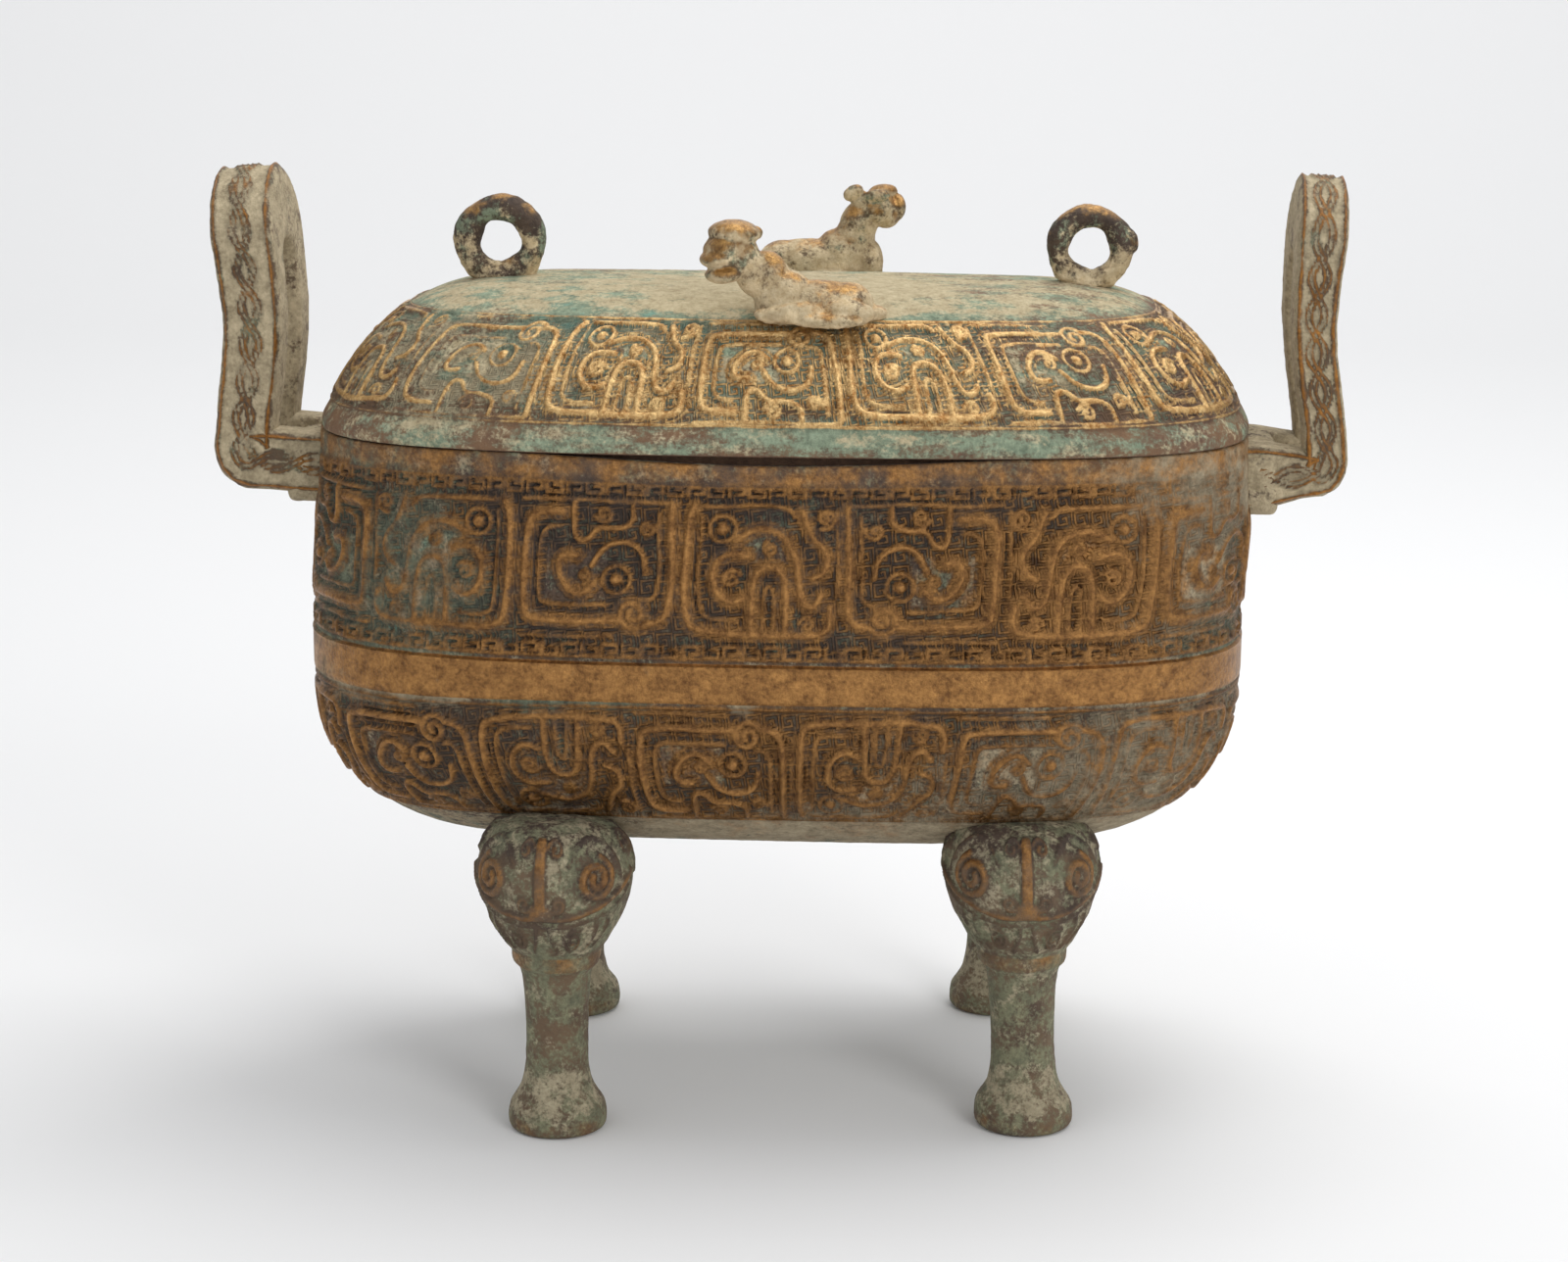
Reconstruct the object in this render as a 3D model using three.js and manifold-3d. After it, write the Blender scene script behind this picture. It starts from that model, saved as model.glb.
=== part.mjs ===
// Gilt bronze covered pot: a cast cauldron of rounded rectangular plan on four legs with
// animal masks, with two upright slotted handles and a domed lid that lifts off. The lid
// carries two rings and two small lying beasts. Millimetres, +Z up, the front faces -Y,
// the long axis is X, and the origin is on the ground under the middle of the pot.

import * as THREE from 'three';
import { mergeVertices } from 'three/addons/utils/BufferGeometryUtils.js';
import Module from 'manifold-3d';

const wasm = await Module();
wasm.setup();

// Vessel
const BODY_HALF_LENGTH = 174.3;
const BODY_HALF_DEPTH = 94.3;
const PLAN_POWER = 3.2;
const RIM_Z = 255;
const BELLY_Z = 96;
const BELLY_CURVE_HEIGHT = 74;
const BELLY_FLAT_POWER = 2.6;
const BELLY_SIDE_POWER = 2.1;
const WALL = 4;
const RIM_INSET = 2.4;
const RIM_DIP = 2.2;
const RIM_DIP_HALF_LENGTH = 95;
const GILT_BAND_BOTTOM_Z = 166;
const GILT_BAND_TOP_Z = 180;
const GILT_BAND_PROUD = 0.8;

// Relief
const RIDGE_WIDTH = 3.6;
const RIDGE_HEIGHT = 1.4;
const RIDGE_ROOT = 1.8;
const RIDGE_SPREAD = 0.9;
const PANEL_PITCH = 61.5;
const PANEL_MARGIN = 4.5;
const UPPER_RELIEF_BOTTOM_Z = 185;
const UPPER_RELIEF_TOP_Z = 224;
const LOWER_RELIEF_BOTTOM_Z = 126;
const LOWER_RELIEF_TOP_Z = 161;
const LID_RELIEF_BOTTOM_Z = 268;
const LID_RELIEF_TOP_Z = 291;

// Lid
const LID_RISE = 53.5;
const LID_FLAT_POWER = 3.5;
const LID_SIDE_POWER = 1.1;
const LID_EDGE_HALF_DEPTH = 92.4;
const LID_EDGE_HEIGHT = 4;
const LID_WALL = 3.5;
const LID_SHIFT_X = 0.4;
const LID_LIP_DEPTH = 6;
const LID_LIP_WALL = 3;
const LID_LIP_CLEARANCE = 1;
const LIFT_OFF_GAP = 0.3;

// Legs
const LEG_SPREAD_X = 85;
const LEG_SPREAD_Y = 68.5;
const LEG_LAYOUT_TURN_DEG = 5;
const LEG_LAYOUT_X = 2.5;
const MASK_RADIUS = 30;
const MASK_TOP_Z = 119;
const COLLAR_Z = 60;
const COLLAR_RADIUS = 18;
const SHANK_RADIUS = 11.7;
const FOOT_RADIUS = 18.4;
const FOOT_HEIGHT = 11;
const MASK_SPLAY_DEG = 4;
const NOSE_WIDTH = 7;
const EYE_RADIUS = 4.2;
const EYE_SPACING_DEG = 44;
const EYE_DROP = 24;
const BROW_END_DROP = 32;
const BROW_TURN_DROP = 22;
const MASK_BULGE_RISE = 24;
const MASK_WIDEST_RISE = 36;

// Handles
const HANDLE_TOP_Z = 347.7;
const HANDLE_DEPTH = 56;
const HANDLE_THICKNESS = 18;
const HANDLE_REACH = 36.2;
const HANDLE_WAIST = 2.4;
const HANDLE_CORNER_RADIUS = 25;
const HANDLE_BEND_RADIUS = 10;
const HANDLE_TOP_LEAN = 2.8;
const HANDLE_WAIST_DROP = 8;
const HANDLE_SLOT_WIDTH = 22;
const HANDLE_TOP_BAR = 28;
const HANDLE_ARM_TOP_Z = 252;
const HANDLE_ARM_HEIGHT = 22;
const HANDLE_ROOT_DEPTH = 9;
const HANDLE_BRAID_HEIGHT = 0.9;
const HANDLE_BRAID_WIDTH = 3;
const HANDLE_BRAID_REACH = 4;
const HANDLE_BRAID_TURNS = 6;

// Rings and beasts on the lid
const RING_SPREAD_X = 109.2;
const RING_SHIFT_X = 4.3;
const RING_RADIUS = 16.9;
const RING_HOLE_RADIUS = 8.1;
const RING_CENTRE_RISE = 14;
const RING_DEPTH = 9.5;
const RING_FOOT_WIDTH = 15;
const BEAST_FRONT_X = 13.2;
const BEAST_BACK_X = 6.2;
const BEAST_Y = 55;
const BEAST_LENGTH = 50;

// Fits
const JOINT_GAP = 0.3;

// How finely the curved forms are divided
const PLAN_SEGMENTS = 24;
const LEG_SEGMENTS = 10;
const ROUND_SEGMENTS = 6;
const RING_SEGMENTS = 12;

const CORE_HALF_LENGTH = BODY_HALF_LENGTH - BODY_HALF_DEPTH;
const DEGREE = Math.PI / 180;
const LID_Z = RIM_Z + LIFT_OFF_GAP;

// Solids

function signedVolume(position, index) {
  const a = new THREE.Vector3();
  const b = new THREE.Vector3();
  const c = new THREE.Vector3();
  let sum = 0;
  for (let i = 0; i < index.count; i += 3) {
    a.fromBufferAttribute(position, index.getX(i));
    b.fromBufferAttribute(position, index.getX(i + 1));
    c.fromBufferAttribute(position, index.getX(i + 2));
    sum += a.dot(b.cross(c));
  }
  return sum / 6;
}

// Turns a closed three.js geometry into a solid, with its faces pointing out.
function solid(geometry) {
  const bare = geometry.clone();
  bare.deleteAttribute('normal');
  bare.deleteAttribute('uv');
  const merged = mergeVertices(bare, 1e-4);
  const triangles = [];
  const index = merged.index;
  const flip = signedVolume(merged.attributes.position, index) < 0;
  for (let i = 0; i < index.count; i += 3) {
    const a = index.getX(i);
    const b = index.getX(i + 1);
    const c = index.getX(i + 2);
    if (a !== b && b !== c && c !== a) {
      triangles.push(a, flip ? c : b, flip ? b : c);
    }
  }
  return new wasm.Manifold(
    new wasm.Mesh({
      numProp: 3,
      vertProperties: new Float32Array(merged.attributes.position.array),
      triVerts: new Uint32Array(triangles),
    }),
  );
}

function union(solids) {
  return solids.reduce((whole, next) => whole.add(next));
}

// Turns a joined solid back into a geometry with flat faces.
function geometryOf(manifold) {
  const mesh = manifold.getMesh();
  const geometry = new THREE.BufferGeometry();
  geometry.setAttribute('position', new THREE.BufferAttribute(new Float32Array(mesh.vertProperties), 3));
  geometry.setIndex(new THREE.BufferAttribute(new Uint32Array(mesh.triVerts), 1));
  geometry.computeVertexNormals();
  return geometry;
}

// Moves every point of a geometry by a function of its place.
function reshape(geometry, move) {
  const position = geometry.attributes.position;
  const point = new THREE.Vector3();
  for (let i = 0; i < position.count; i += 1) {
    point.fromBufferAttribute(position, i);
    move(point);
    position.setXYZ(i, point.x, point.y, point.z);
  }
  return geometry;
}

function ellipsoid(centre, radii, turnZ = 0, tiltY = 0) {
  const geometry = new THREE.SphereGeometry(1, ROUND_SEGMENTS, 4);
  geometry.rotateX(Math.PI / 2);
  geometry.scale(radii[0], radii[1], radii[2]);
  geometry.rotateY(tiltY);
  geometry.rotateZ(turnZ);
  geometry.translate(centre[0], centre[1], centre[2]);
  return solid(geometry);
}

// The rounded rectangular plan

// The plan is a superellipse whose half-depth is r and whose half-length is r plus a fixed
// core, so that a wall keeps one thickness all round, and r = 0 is a line along X.
function planPoint(r, angle) {
  const c = Math.cos(angle);
  const s = Math.sin(angle);
  const share = 2 / PLAN_POWER;
  return [
    Math.sign(c) * (r + CORE_HALF_LENGTH) * Math.abs(c) ** share,
    Math.sign(s) * r * Math.abs(s) ** share,
  ];
}

// A vessel wall: a lathe profile of [half-depth, z] points, turned and then pressed into the
// rounded rectangular plan. The profile starts and ends on the axis.
function vessel(profile, warp = () => 0) {
  const points = profile.map(([r, z]) => new THREE.Vector2(r, z));
  const geometry = new THREE.LatheGeometry(points, PLAN_SEGMENTS);
  const position = geometry.attributes.position;
  for (let i = 0; i < position.count; i += 1) {
    const step = Math.floor(i / profile.length) % PLAN_SEGMENTS;
    const [r, z] = profile[i % profile.length];
    const [x, y] = planPoint(r, (step / PLAN_SEGMENTS) * 2 * Math.PI);
    position.setXYZ(i, x, y, z - warp(x, y, z));
  }
  return geometry;
}

// Distance round the plan, from the middle of the front towards +X, as an angle of the plan.
const planArc = (() => {
  const steps = 1440;
  const angles = [];
  const lengths = [];
  let length = 0;
  let last = null;
  for (let i = 0; i <= steps; i += 1) {
    const angle = -Math.PI / 2 + (i / steps) * 2 * Math.PI;
    const point = planPoint(BODY_HALF_DEPTH, angle);
    if (last) {
      length += Math.hypot(point[0] - last[0], point[1] - last[1]);
    }
    angles.push(angle);
    lengths.push(length);
    last = point;
  }
  return { angles, lengths, perimeter: length };
})();

function angleAt(distance) {
  const { angles, lengths, perimeter } = planArc;
  const d = ((distance % perimeter) + perimeter) % perimeter;
  let low = 0;
  let high = lengths.length - 1;
  while (high - low > 1) {
    const middle = (low + high) >> 1;
    if (lengths[middle] > d) {
      high = middle;
    } else {
      low = middle;
    }
  }
  const share = (d - lengths[low]) / Math.max(lengths[high] - lengths[low], 1e-9);
  return angles[low] + share * (angles[high] - angles[low]);
}

// Profiles

// Half-depth of the outside of the pot at height z: a quarter of a superellipse from the flat
// belly up to the widest line, then a slow draw in towards the rim.
function bodyRadius(z) {
  const widest = BELLY_Z + BELLY_CURVE_HEIGHT;
  if (z >= widest) {
    const up = (z - widest) / (RIM_Z - widest);
    return BODY_HALF_DEPTH - RIM_INSET * up ** 2;
  }
  const down = Math.min((widest - z) / BELLY_CURVE_HEIGHT, 1);
  return BODY_HALF_DEPTH * (1 - down ** BELLY_FLAT_POWER) ** (1 / BELLY_SIDE_POWER);
}

// Height of the outside of the lid above its edge, at half-depth r.
function lidHeight(r) {
  const share = Math.min(Math.max(r / LID_EDGE_HALF_DEPTH, 0), 1);
  const dome = (1 - share ** LID_FLAT_POWER) ** (1 / LID_SIDE_POWER);
  return LID_EDGE_HEIGHT + (LID_RISE - LID_EDGE_HEIGHT) * dome;
}

// Half-depth of the outside of the lid at height z.
function lidRadius(z) {
  const up = Math.min(Math.max((z - LID_Z - LID_EDGE_HEIGHT) / (LID_RISE - LID_EDGE_HEIGHT), 0), 1);
  return LID_EDGE_HALF_DEPTH * (1 - up ** LID_SIDE_POWER) ** (1 / LID_FLAT_POWER);
}

// Relief

// A raised line with sloping sides and a crest. The path is a list of [along, up] points on
// a surface, and place(along, up, out) gives the point of it, out millimetres proud.
function ridge(path, width, height, place) {
  const count = path.length;
  const geometry = new THREE.CylinderGeometry(1, 1, 1, 3, count - 1);
  const sides = path.map((point, i) => {
    const before = path[Math.max(i - 1, 0)];
    const after = path[Math.min(i + 1, count - 1)];
    const first = new THREE.Vector2(point[0] - before[0], point[1] - before[1]);
    const second = new THREE.Vector2(after[0] - point[0], after[1] - point[1]);
    const a = (first.lengthSq() > 0 ? first : second).clone().normalize();
    const b = (second.lengthSq() > 0 ? second : first).clone().normalize();
    const bisector = a.clone().add(b).normalize();
    const reach = 1 / Math.max(bisector.dot(a), 0.5);
    return [-bisector.y * reach, bisector.x * reach];
  });
  return solid(reshape(geometry, (p) => {
    const i = Math.round((p.y + 0.5) * (count - 1));
    // A three-sided bar has its first corner at z = 1: that corner is the crest.
    const crest = p.z > 0.9;
    const half = crest || Math.abs(p.x) < 0.1 ? 0 : Math.sign(p.x) * RIDGE_SPREAD * width;
    const rise = crest ? height : -RIDGE_ROOT;
    const along = path[i][0] + sides[i][0] * half;
    const up = path[i][1] + sides[i][1] * half;
    const [x, y, z] = place(along, up, rise);
    p.set(x, y, z);
  }));
}

// One panel of the relief: a square hook that runs round the panel and curls in to its middle.
const HOOK = [[0.95, 0.95], [0.05, 0.95], [0.05, 0.05], [0.7, 0.05], [0.7, 0.6]];

// A belt of hooks round the vessel, every other one turned over.
function reliefBelt(bottom, top, radiusAt) {
  const count = Math.max(Math.round(planArc.perimeter / PANEL_PITCH), 1);
  const pitch = planArc.perimeter / count;
  const width = pitch - 2 * PANEL_MARGIN;
  const place = (along, up, out) => {
    const [x, y] = planPoint(radiusAt(up) + out, angleAt(along));
    return [x, y, up];
  };
  const ridges = [];
  for (let i = 0; i < count; i += 1) {
    const start = (i - 0.5) * pitch + PANEL_MARGIN;
    const path = HOOK.map(([across, rise]) => {
      const u = i % 2 ? 1 - across : across;
      const v = i % 2 ? 1 - rise : rise;
      return [start + u * width, bottom + v * (top - bottom)];
    });
    ridges.push(ridge(path, RIDGE_WIDTH, RIDGE_HEIGHT, place));
  }
  return union(ridges);
}

// Pot

const BELLY_SHARES = [0.04, 0.14, 0.3, 0.52, 0.8];

function bellyLine() {
  const heights = BELLY_SHARES.map((share) => BELLY_Z + share * BELLY_CURVE_HEIGHT);
  return [[0, BELLY_Z], ...heights.map((z) => [bodyRadius(z), z])];
}

function sideLine() {
  return [(GILT_BAND_TOP_Z + RIM_Z) / 2, RIM_Z].map((z) => [bodyRadius(z), z]);
}

function bodyOutline() {
  const bandBottom = bodyRadius(GILT_BAND_BOTTOM_Z);
  const bandTop = bodyRadius(GILT_BAND_TOP_Z);
  return [
    ...bellyLine(),
    [bandBottom, GILT_BAND_BOTTOM_Z - GILT_BAND_PROUD],
    [bandBottom + GILT_BAND_PROUD, GILT_BAND_BOTTOM_Z],
    [bandTop + GILT_BAND_PROUD, GILT_BAND_TOP_Z],
    [bandTop, GILT_BAND_TOP_Z + GILT_BAND_PROUD],
    ...sideLine(),
  ];
}

// A profile moved square to itself, to its left where depth is more than 0.
function inset(outline, depth) {
  return outline.map(([r, z], i) => {
    const before = outline[Math.max(i - 1, 0)];
    const after = outline[Math.min(i + 1, outline.length - 1)];
    const dr = r > 0 ? after[0] - before[0] : 1;
    const dz = r > 0 ? after[1] - before[1] : 0;
    const length = Math.hypot(dr, dz);
    return [r - (depth * dz) / length, z + (depth * dr) / length];
  });
}

function potBody() {
  const inner = inset([...bellyLine(), ...sideLine()], WALL).reverse();
  inner[0] = [bodyRadius(RIM_Z) - WALL, RIM_Z];
  const profile = [...bodyOutline(), ...inner];
  // The rim sags a little along the middle of the front, where the real lid shows a gap.
  const sag = (x, y, z) => {
    const share = 1 - (x / RIM_DIP_HALF_LENGTH) ** 2;
    return z > RIM_Z - 1e-6 && y < 0 && share > 0 ? RIM_DIP * share ** 2 : 0;
  };
  const wall = solid(vessel(profile, sag));
  const upper = reliefBelt(UPPER_RELIEF_BOTTOM_Z, UPPER_RELIEF_TOP_Z, bodyRadius);
  const lower = reliefBelt(LOWER_RELIEF_BOTTOM_Z, LOWER_RELIEF_TOP_Z, bodyRadius);
  return wall.add(upper).add(lower);
}

// The outside of the pot as a full form, grown by the joint gap, which cuts what is cast on.
function bodyCutter() {
  const outline = bodyOutline().map(([r, z]) => [r > 0 ? r + JOINT_GAP : 0, z]);
  outline[0][1] -= JOINT_GAP;
  return solid(vessel([...outline, [0, RIM_Z]]));
}

// Lid

const DOME_SHARES = [0, 0.5, 0.72, 0.85, 0.93, 0.98, 1];

function domeLine() {
  return DOME_SHARES.map((share) => {
    const r = share * LID_EDGE_HALF_DEPTH;
    return [r, LID_Z + lidHeight(r)];
  });
}

function lidOutline() {
  return [...domeLine(), [LID_EDGE_HALF_DEPTH, LID_Z]];
}

function lidSolid() {
  const lipOuter = bodyRadius(RIM_Z) - WALL - LID_LIP_CLEARANCE - Math.abs(LID_SHIFT_X);
  const lipInner = lipOuter - LID_LIP_WALL;
  const lipZ = RIM_Z - LID_LIP_DEPTH;
  const inner = inset(domeLine(), -LID_WALL).filter(([r]) => r < lipInner - 1).reverse();
  const profile = [
    ...lidOutline(),
    [lipOuter, LID_Z],
    [lipOuter, lipZ],
    [lipInner, lipZ],
    [lipInner, LID_Z + LID_EDGE_HEIGHT],
    ...inner,
  ];
  const relief = reliefBelt(LID_RELIEF_BOTTOM_Z, LID_RELIEF_TOP_Z, lidRadius);
  return solid(vessel(profile)).add(relief).translate([LID_SHIFT_X, 0, 0]);
}

// The outside of the lid as a full form, grown by the joint gap.
function lidCutter() {
  const outline = lidOutline().map(([r, z]) => [r > 0 ? r + JOINT_GAP : 0, z + JOINT_GAP]);
  outline[outline.length - 1][1] = LID_Z;
  return solid(vessel([...outline, [0, LID_Z]])).translate([LID_SHIFT_X, 0, 0]);
}

// Height of the lid's top surface over a point.
function lidTopAt(x, y) {
  const away = Math.max(Math.abs(x - LID_SHIFT_X) - CORE_HALF_LENGTH, 0);
  const r = (away ** PLAN_POWER + Math.abs(y) ** PLAN_POWER) ** (1 / PLAN_POWER);
  return LID_Z + lidHeight(r);
}

// Legs

// Radius of the leg at height z: flared foot, thin shank, collar and bulging mask.
const LEG_PROFILE = [
  [0, 0],
  [FOOT_RADIUS, 0],
  [FOOT_RADIUS - 0.6, FOOT_HEIGHT - 2],
  [SHANK_RADIUS + 1.2, FOOT_HEIGHT + 6],
  [SHANK_RADIUS, FOOT_HEIGHT + 18],
  [SHANK_RADIUS + 1.2, COLLAR_Z - 9],
  [COLLAR_RADIUS, COLLAR_Z],
  [MASK_RADIUS - 2, COLLAR_Z + MASK_BULGE_RISE],
  [MASK_RADIUS, COLLAR_Z + MASK_WIDEST_RISE],
  [MASK_RADIUS - 3, MASK_TOP_Z - 9],
  [MASK_RADIUS - 14, MASK_TOP_Z],
  [0, MASK_TOP_Z],
];

function legRadius(z) {
  for (let i = 1; i < LEG_PROFILE.length; i += 1) {
    const [r0, z0] = LEG_PROFILE[i - 1];
    const [r1, z1] = LEG_PROFILE[i];
    if (z <= z1 && z1 > z0) {
      return r0 + ((z - z0) / (z1 - z0)) * (r1 - r0);
    }
  }
  return LEG_PROFILE[LEG_PROFILE.length - 1][0];
}

// A point on the leg, by its angle from the front in degrees, counter-clockwise from above.
function onLeg(degrees, z, out) {
  const angle = (degrees - 90) * DEGREE;
  const r = legRadius(z) + out;
  return [r * Math.cos(angle), r * Math.sin(angle), z];
}

// The animal mask: a nose ridge, eyes, sweeping brows and jaws.
function maskForms() {
  const noseTop = MASK_TOP_Z - 13;
  const noseFoot = COLLAR_Z + 17;
  const noseDegrees = (NOSE_WIDTH / MASK_RADIUS) / DEGREE;
  const forms = [
    ridge([[0, noseFoot], [0, (noseFoot + noseTop) / 2], [0, noseTop]], noseDegrees, 2.6, onLeg),
  ];
  for (const side of [-1, 1]) {
    const eye = side * EYE_SPACING_DEG * 0.72;
    forms.push(ellipsoid(onLeg(eye, MASK_TOP_Z - EYE_DROP, 0), [EYE_RADIUS, EYE_RADIUS, EYE_RADIUS]));
    const brow = [
      [side * 7, noseTop],
      [side * 34, noseTop + 1],
      [side * 58, MASK_TOP_Z - BROW_TURN_DROP],
      [side * 50, MASK_TOP_Z - BROW_END_DROP],
    ];
    forms.push(ridge(brow, 6, 1.9, onLeg));
    const jaw = [[side * 10, noseFoot - 6], [side * 40, noseFoot + 4], [side * 66, noseFoot + 17]];
    forms.push(ridge(jaw, 6, 1.7, onLeg));
  }
  return forms;
}

function legForm() {
  const points = LEG_PROFILE.map(([r, z]) => new THREE.Vector2(r, z));
  const geometry = new THREE.LatheGeometry(points, LEG_SEGMENTS);
  geometry.rotateX(Math.PI / 2);
  return union([solid(geometry), ...maskForms()]);
}

function legAt(sideX, sideY, form, cutter) {
  const turn = LEG_LAYOUT_TURN_DEG * DEGREE;
  const x = sideX * LEG_SPREAD_X;
  const y = sideY * LEG_SPREAD_Y;
  const placeX = LEG_LAYOUT_X + x * Math.cos(turn) - y * Math.sin(turn);
  const placeY = x * Math.sin(turn) + y * Math.cos(turn);
  // Each mask faces the nearer long side of the pot and a little outwards.
  const facing = (sideY < 0 ? 0 : 180) - sideX * sideY * MASK_SPLAY_DEG;
  return form.rotate([0, 0, facing]).translate([placeX, placeY, 0]).subtract(cutter);
}

// Handles

function extrudeAlong(shape, depth, axis) {
  const geometry = new THREE.ExtrudeGeometry(shape, { depth, bevelEnabled: false, curveSegments: 4 });
  geometry.translate(0, 0, -depth / 2);
  geometry.rotateX(Math.PI / 2);
  if (axis === 'x') {
    geometry.rotateZ(Math.PI / 2);
  }
  return solid(geometry);
}

const HANDLE_OUTER_X = BODY_HALF_LENGTH + HANDLE_REACH;
const HANDLE_ARM_BOTTOM_Z = HANDLE_ARM_TOP_Z - HANDLE_ARM_HEIGHT;
const HANDLE_WAIST_Z = (HANDLE_TOP_Z + HANDLE_ARM_TOP_Z) / 2 - HANDLE_WAIST_DROP;

// Seen along Y: an upright that draws in at its waist and bends over into a level arm.
function handleSide() {
  const outer = HANDLE_OUTER_X;
  const inner = outer - HANDLE_THICKNESS;
  const armBottom = HANDLE_ARM_BOTTOM_Z;
  const waistZ = HANDLE_WAIST_Z;
  const shape = new THREE.Shape();
  shape.moveTo(outer - HANDLE_TOP_LEAN, HANDLE_TOP_Z);
  shape.quadraticCurveTo(outer - HANDLE_WAIST * 3, waistZ, outer, armBottom + HANDLE_BEND_RADIUS);
  shape.quadraticCurveTo(outer, armBottom, outer - HANDLE_BEND_RADIUS, armBottom);
  shape.lineTo(BODY_HALF_LENGTH - 20, armBottom - 2.5);
  shape.lineTo(BODY_HALF_LENGTH - 20, HANDLE_ARM_TOP_Z);
  shape.lineTo(inner - 7, HANDLE_ARM_TOP_Z);
  shape.quadraticCurveTo(inner - 1, HANDLE_ARM_TOP_Z, inner, HANDLE_ARM_TOP_Z + 9);
  shape.quadraticCurveTo(inner - HANDLE_WAIST * 2, waistZ, inner - HANDLE_TOP_LEAN, HANDLE_TOP_Z);
  return extrudeAlong(shape, HANDLE_DEPTH, 'y');
}

// Seen along X: an arch with round shoulders.
function handleArch() {
  const half = HANDLE_DEPTH / 2;
  const radius = HANDLE_CORNER_RADIUS;
  const low = HANDLE_ARM_TOP_Z - HANDLE_ARM_HEIGHT - 10;
  const shape = new THREE.Shape();
  shape.moveTo(-half, low);
  shape.lineTo(half, low);
  shape.lineTo(half, HANDLE_TOP_Z - radius);
  shape.absarc(half - radius, HANDLE_TOP_Z - radius, radius, 0, Math.PI / 2, false);
  shape.lineTo(radius - half, HANDLE_TOP_Z);
  shape.absarc(radius - half, HANDLE_TOP_Z - radius, radius, Math.PI / 2, Math.PI, false);
  return extrudeAlong(shape, 4 * HANDLE_REACH, 'x').translate([BODY_HALF_LENGTH + HANDLE_REACH, 0, 0]);
}

// The slot runs down the upright and on round the bend into the arm.
function handleSlot() {
  const half = HANDLE_SLOT_WIDTH / 2;
  const top = HANDLE_TOP_Z - HANDLE_TOP_BAR;
  const shape = new THREE.Shape();
  const low = HANDLE_ARM_TOP_Z - HANDLE_ARM_HEIGHT - 12;
  shape.moveTo(-half, low);
  shape.lineTo(half, low);
  shape.lineTo(half, top - half);
  shape.absarc(0, top - half, half, 0, Math.PI, false);
  const start = BODY_HALF_LENGTH + HANDLE_ROOT_DEPTH;
  const length = 2 * HANDLE_REACH;
  return extrudeAlong(shape, length, 'x').translate([start + length / 2, 0, 0]);
}

// The outer face of the upright at height z, from the curve that draws it in at its waist.
function handleFaceX(z) {
  const bottom = HANDLE_ARM_BOTTOM_Z + HANDLE_BEND_RADIUS;
  const a = HANDLE_TOP_Z - 2 * HANDLE_WAIST_Z + bottom;
  const b = 2 * (HANDLE_WAIST_Z - HANDLE_TOP_Z);
  const c = HANDLE_TOP_Z - z;
  const t = (-b - Math.sqrt(Math.max(b * b - 4 * a * c, 0))) / (2 * a);
  const fromTop = (1 - t) ** 2 * (HANDLE_OUTER_X - HANDLE_TOP_LEAN);
  return fromTop + 2 * t * (1 - t) * (HANDLE_OUTER_X - HANDLE_WAIST * 3) + t * t * HANDLE_OUTER_X;
}

// The plaited line up the side face of each bar, on the middle of the plate's thickness.
function handleBraid(side) {
  const low = HANDLE_ARM_TOP_Z - HANDLE_BRAID_REACH;
  const high = HANDLE_TOP_Z - HANDLE_CORNER_RADIUS;
  const path = [];
  for (let i = 0; i <= HANDLE_BRAID_TURNS; i += 1) {
    const across = (i % 2 ? 1 : -1) * HANDLE_BRAID_REACH;
    path.push([across, low + (i / HANDLE_BRAID_TURNS) * (high - low)]);
  }
  const place = (across, up, out) => [
    handleFaceX(up) - HANDLE_THICKNESS / 2 + across,
    side * (HANDLE_DEPTH / 2 + out),
    up,
  ];
  return ridge(path, HANDLE_BRAID_WIDTH, HANDLE_BRAID_HEIGHT, place);
}

function handleSolid(cutter) {
  const bent = handleSide().intersect(handleArch()).subtract(handleSlot());
  return union([bent, handleBraid(-1), handleBraid(1)]).subtract(cutter);
}

// Rings

function ringAt(x, cutter) {
  const tube = (RING_RADIUS - RING_HOLE_RADIUS) / 2;
  const centreZ = lidTopAt(x, 0) + RING_CENTRE_RISE;
  const torus = new THREE.TorusGeometry(RING_RADIUS - tube, tube, 6, RING_SEGMENTS);
  torus.scale(1, 1, RING_DEPTH / (2 * tube));
  torus.rotateX(Math.PI / 2);
  torus.translate(x, 0, centreZ);
  const foot = new THREE.CylinderGeometry(RING_FOOT_WIDTH / 2 - 2, RING_FOOT_WIDTH / 2 + 1, RING_CENTRE_RISE, 6);
  foot.rotateX(Math.PI / 2);
  foot.translate(x, 0, centreZ - RING_RADIUS - RING_CENTRE_RISE / 2 + tube * 1.2);
  return solid(torus).add(solid(foot)).subtract(cutter);
}

// Beasts

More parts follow.
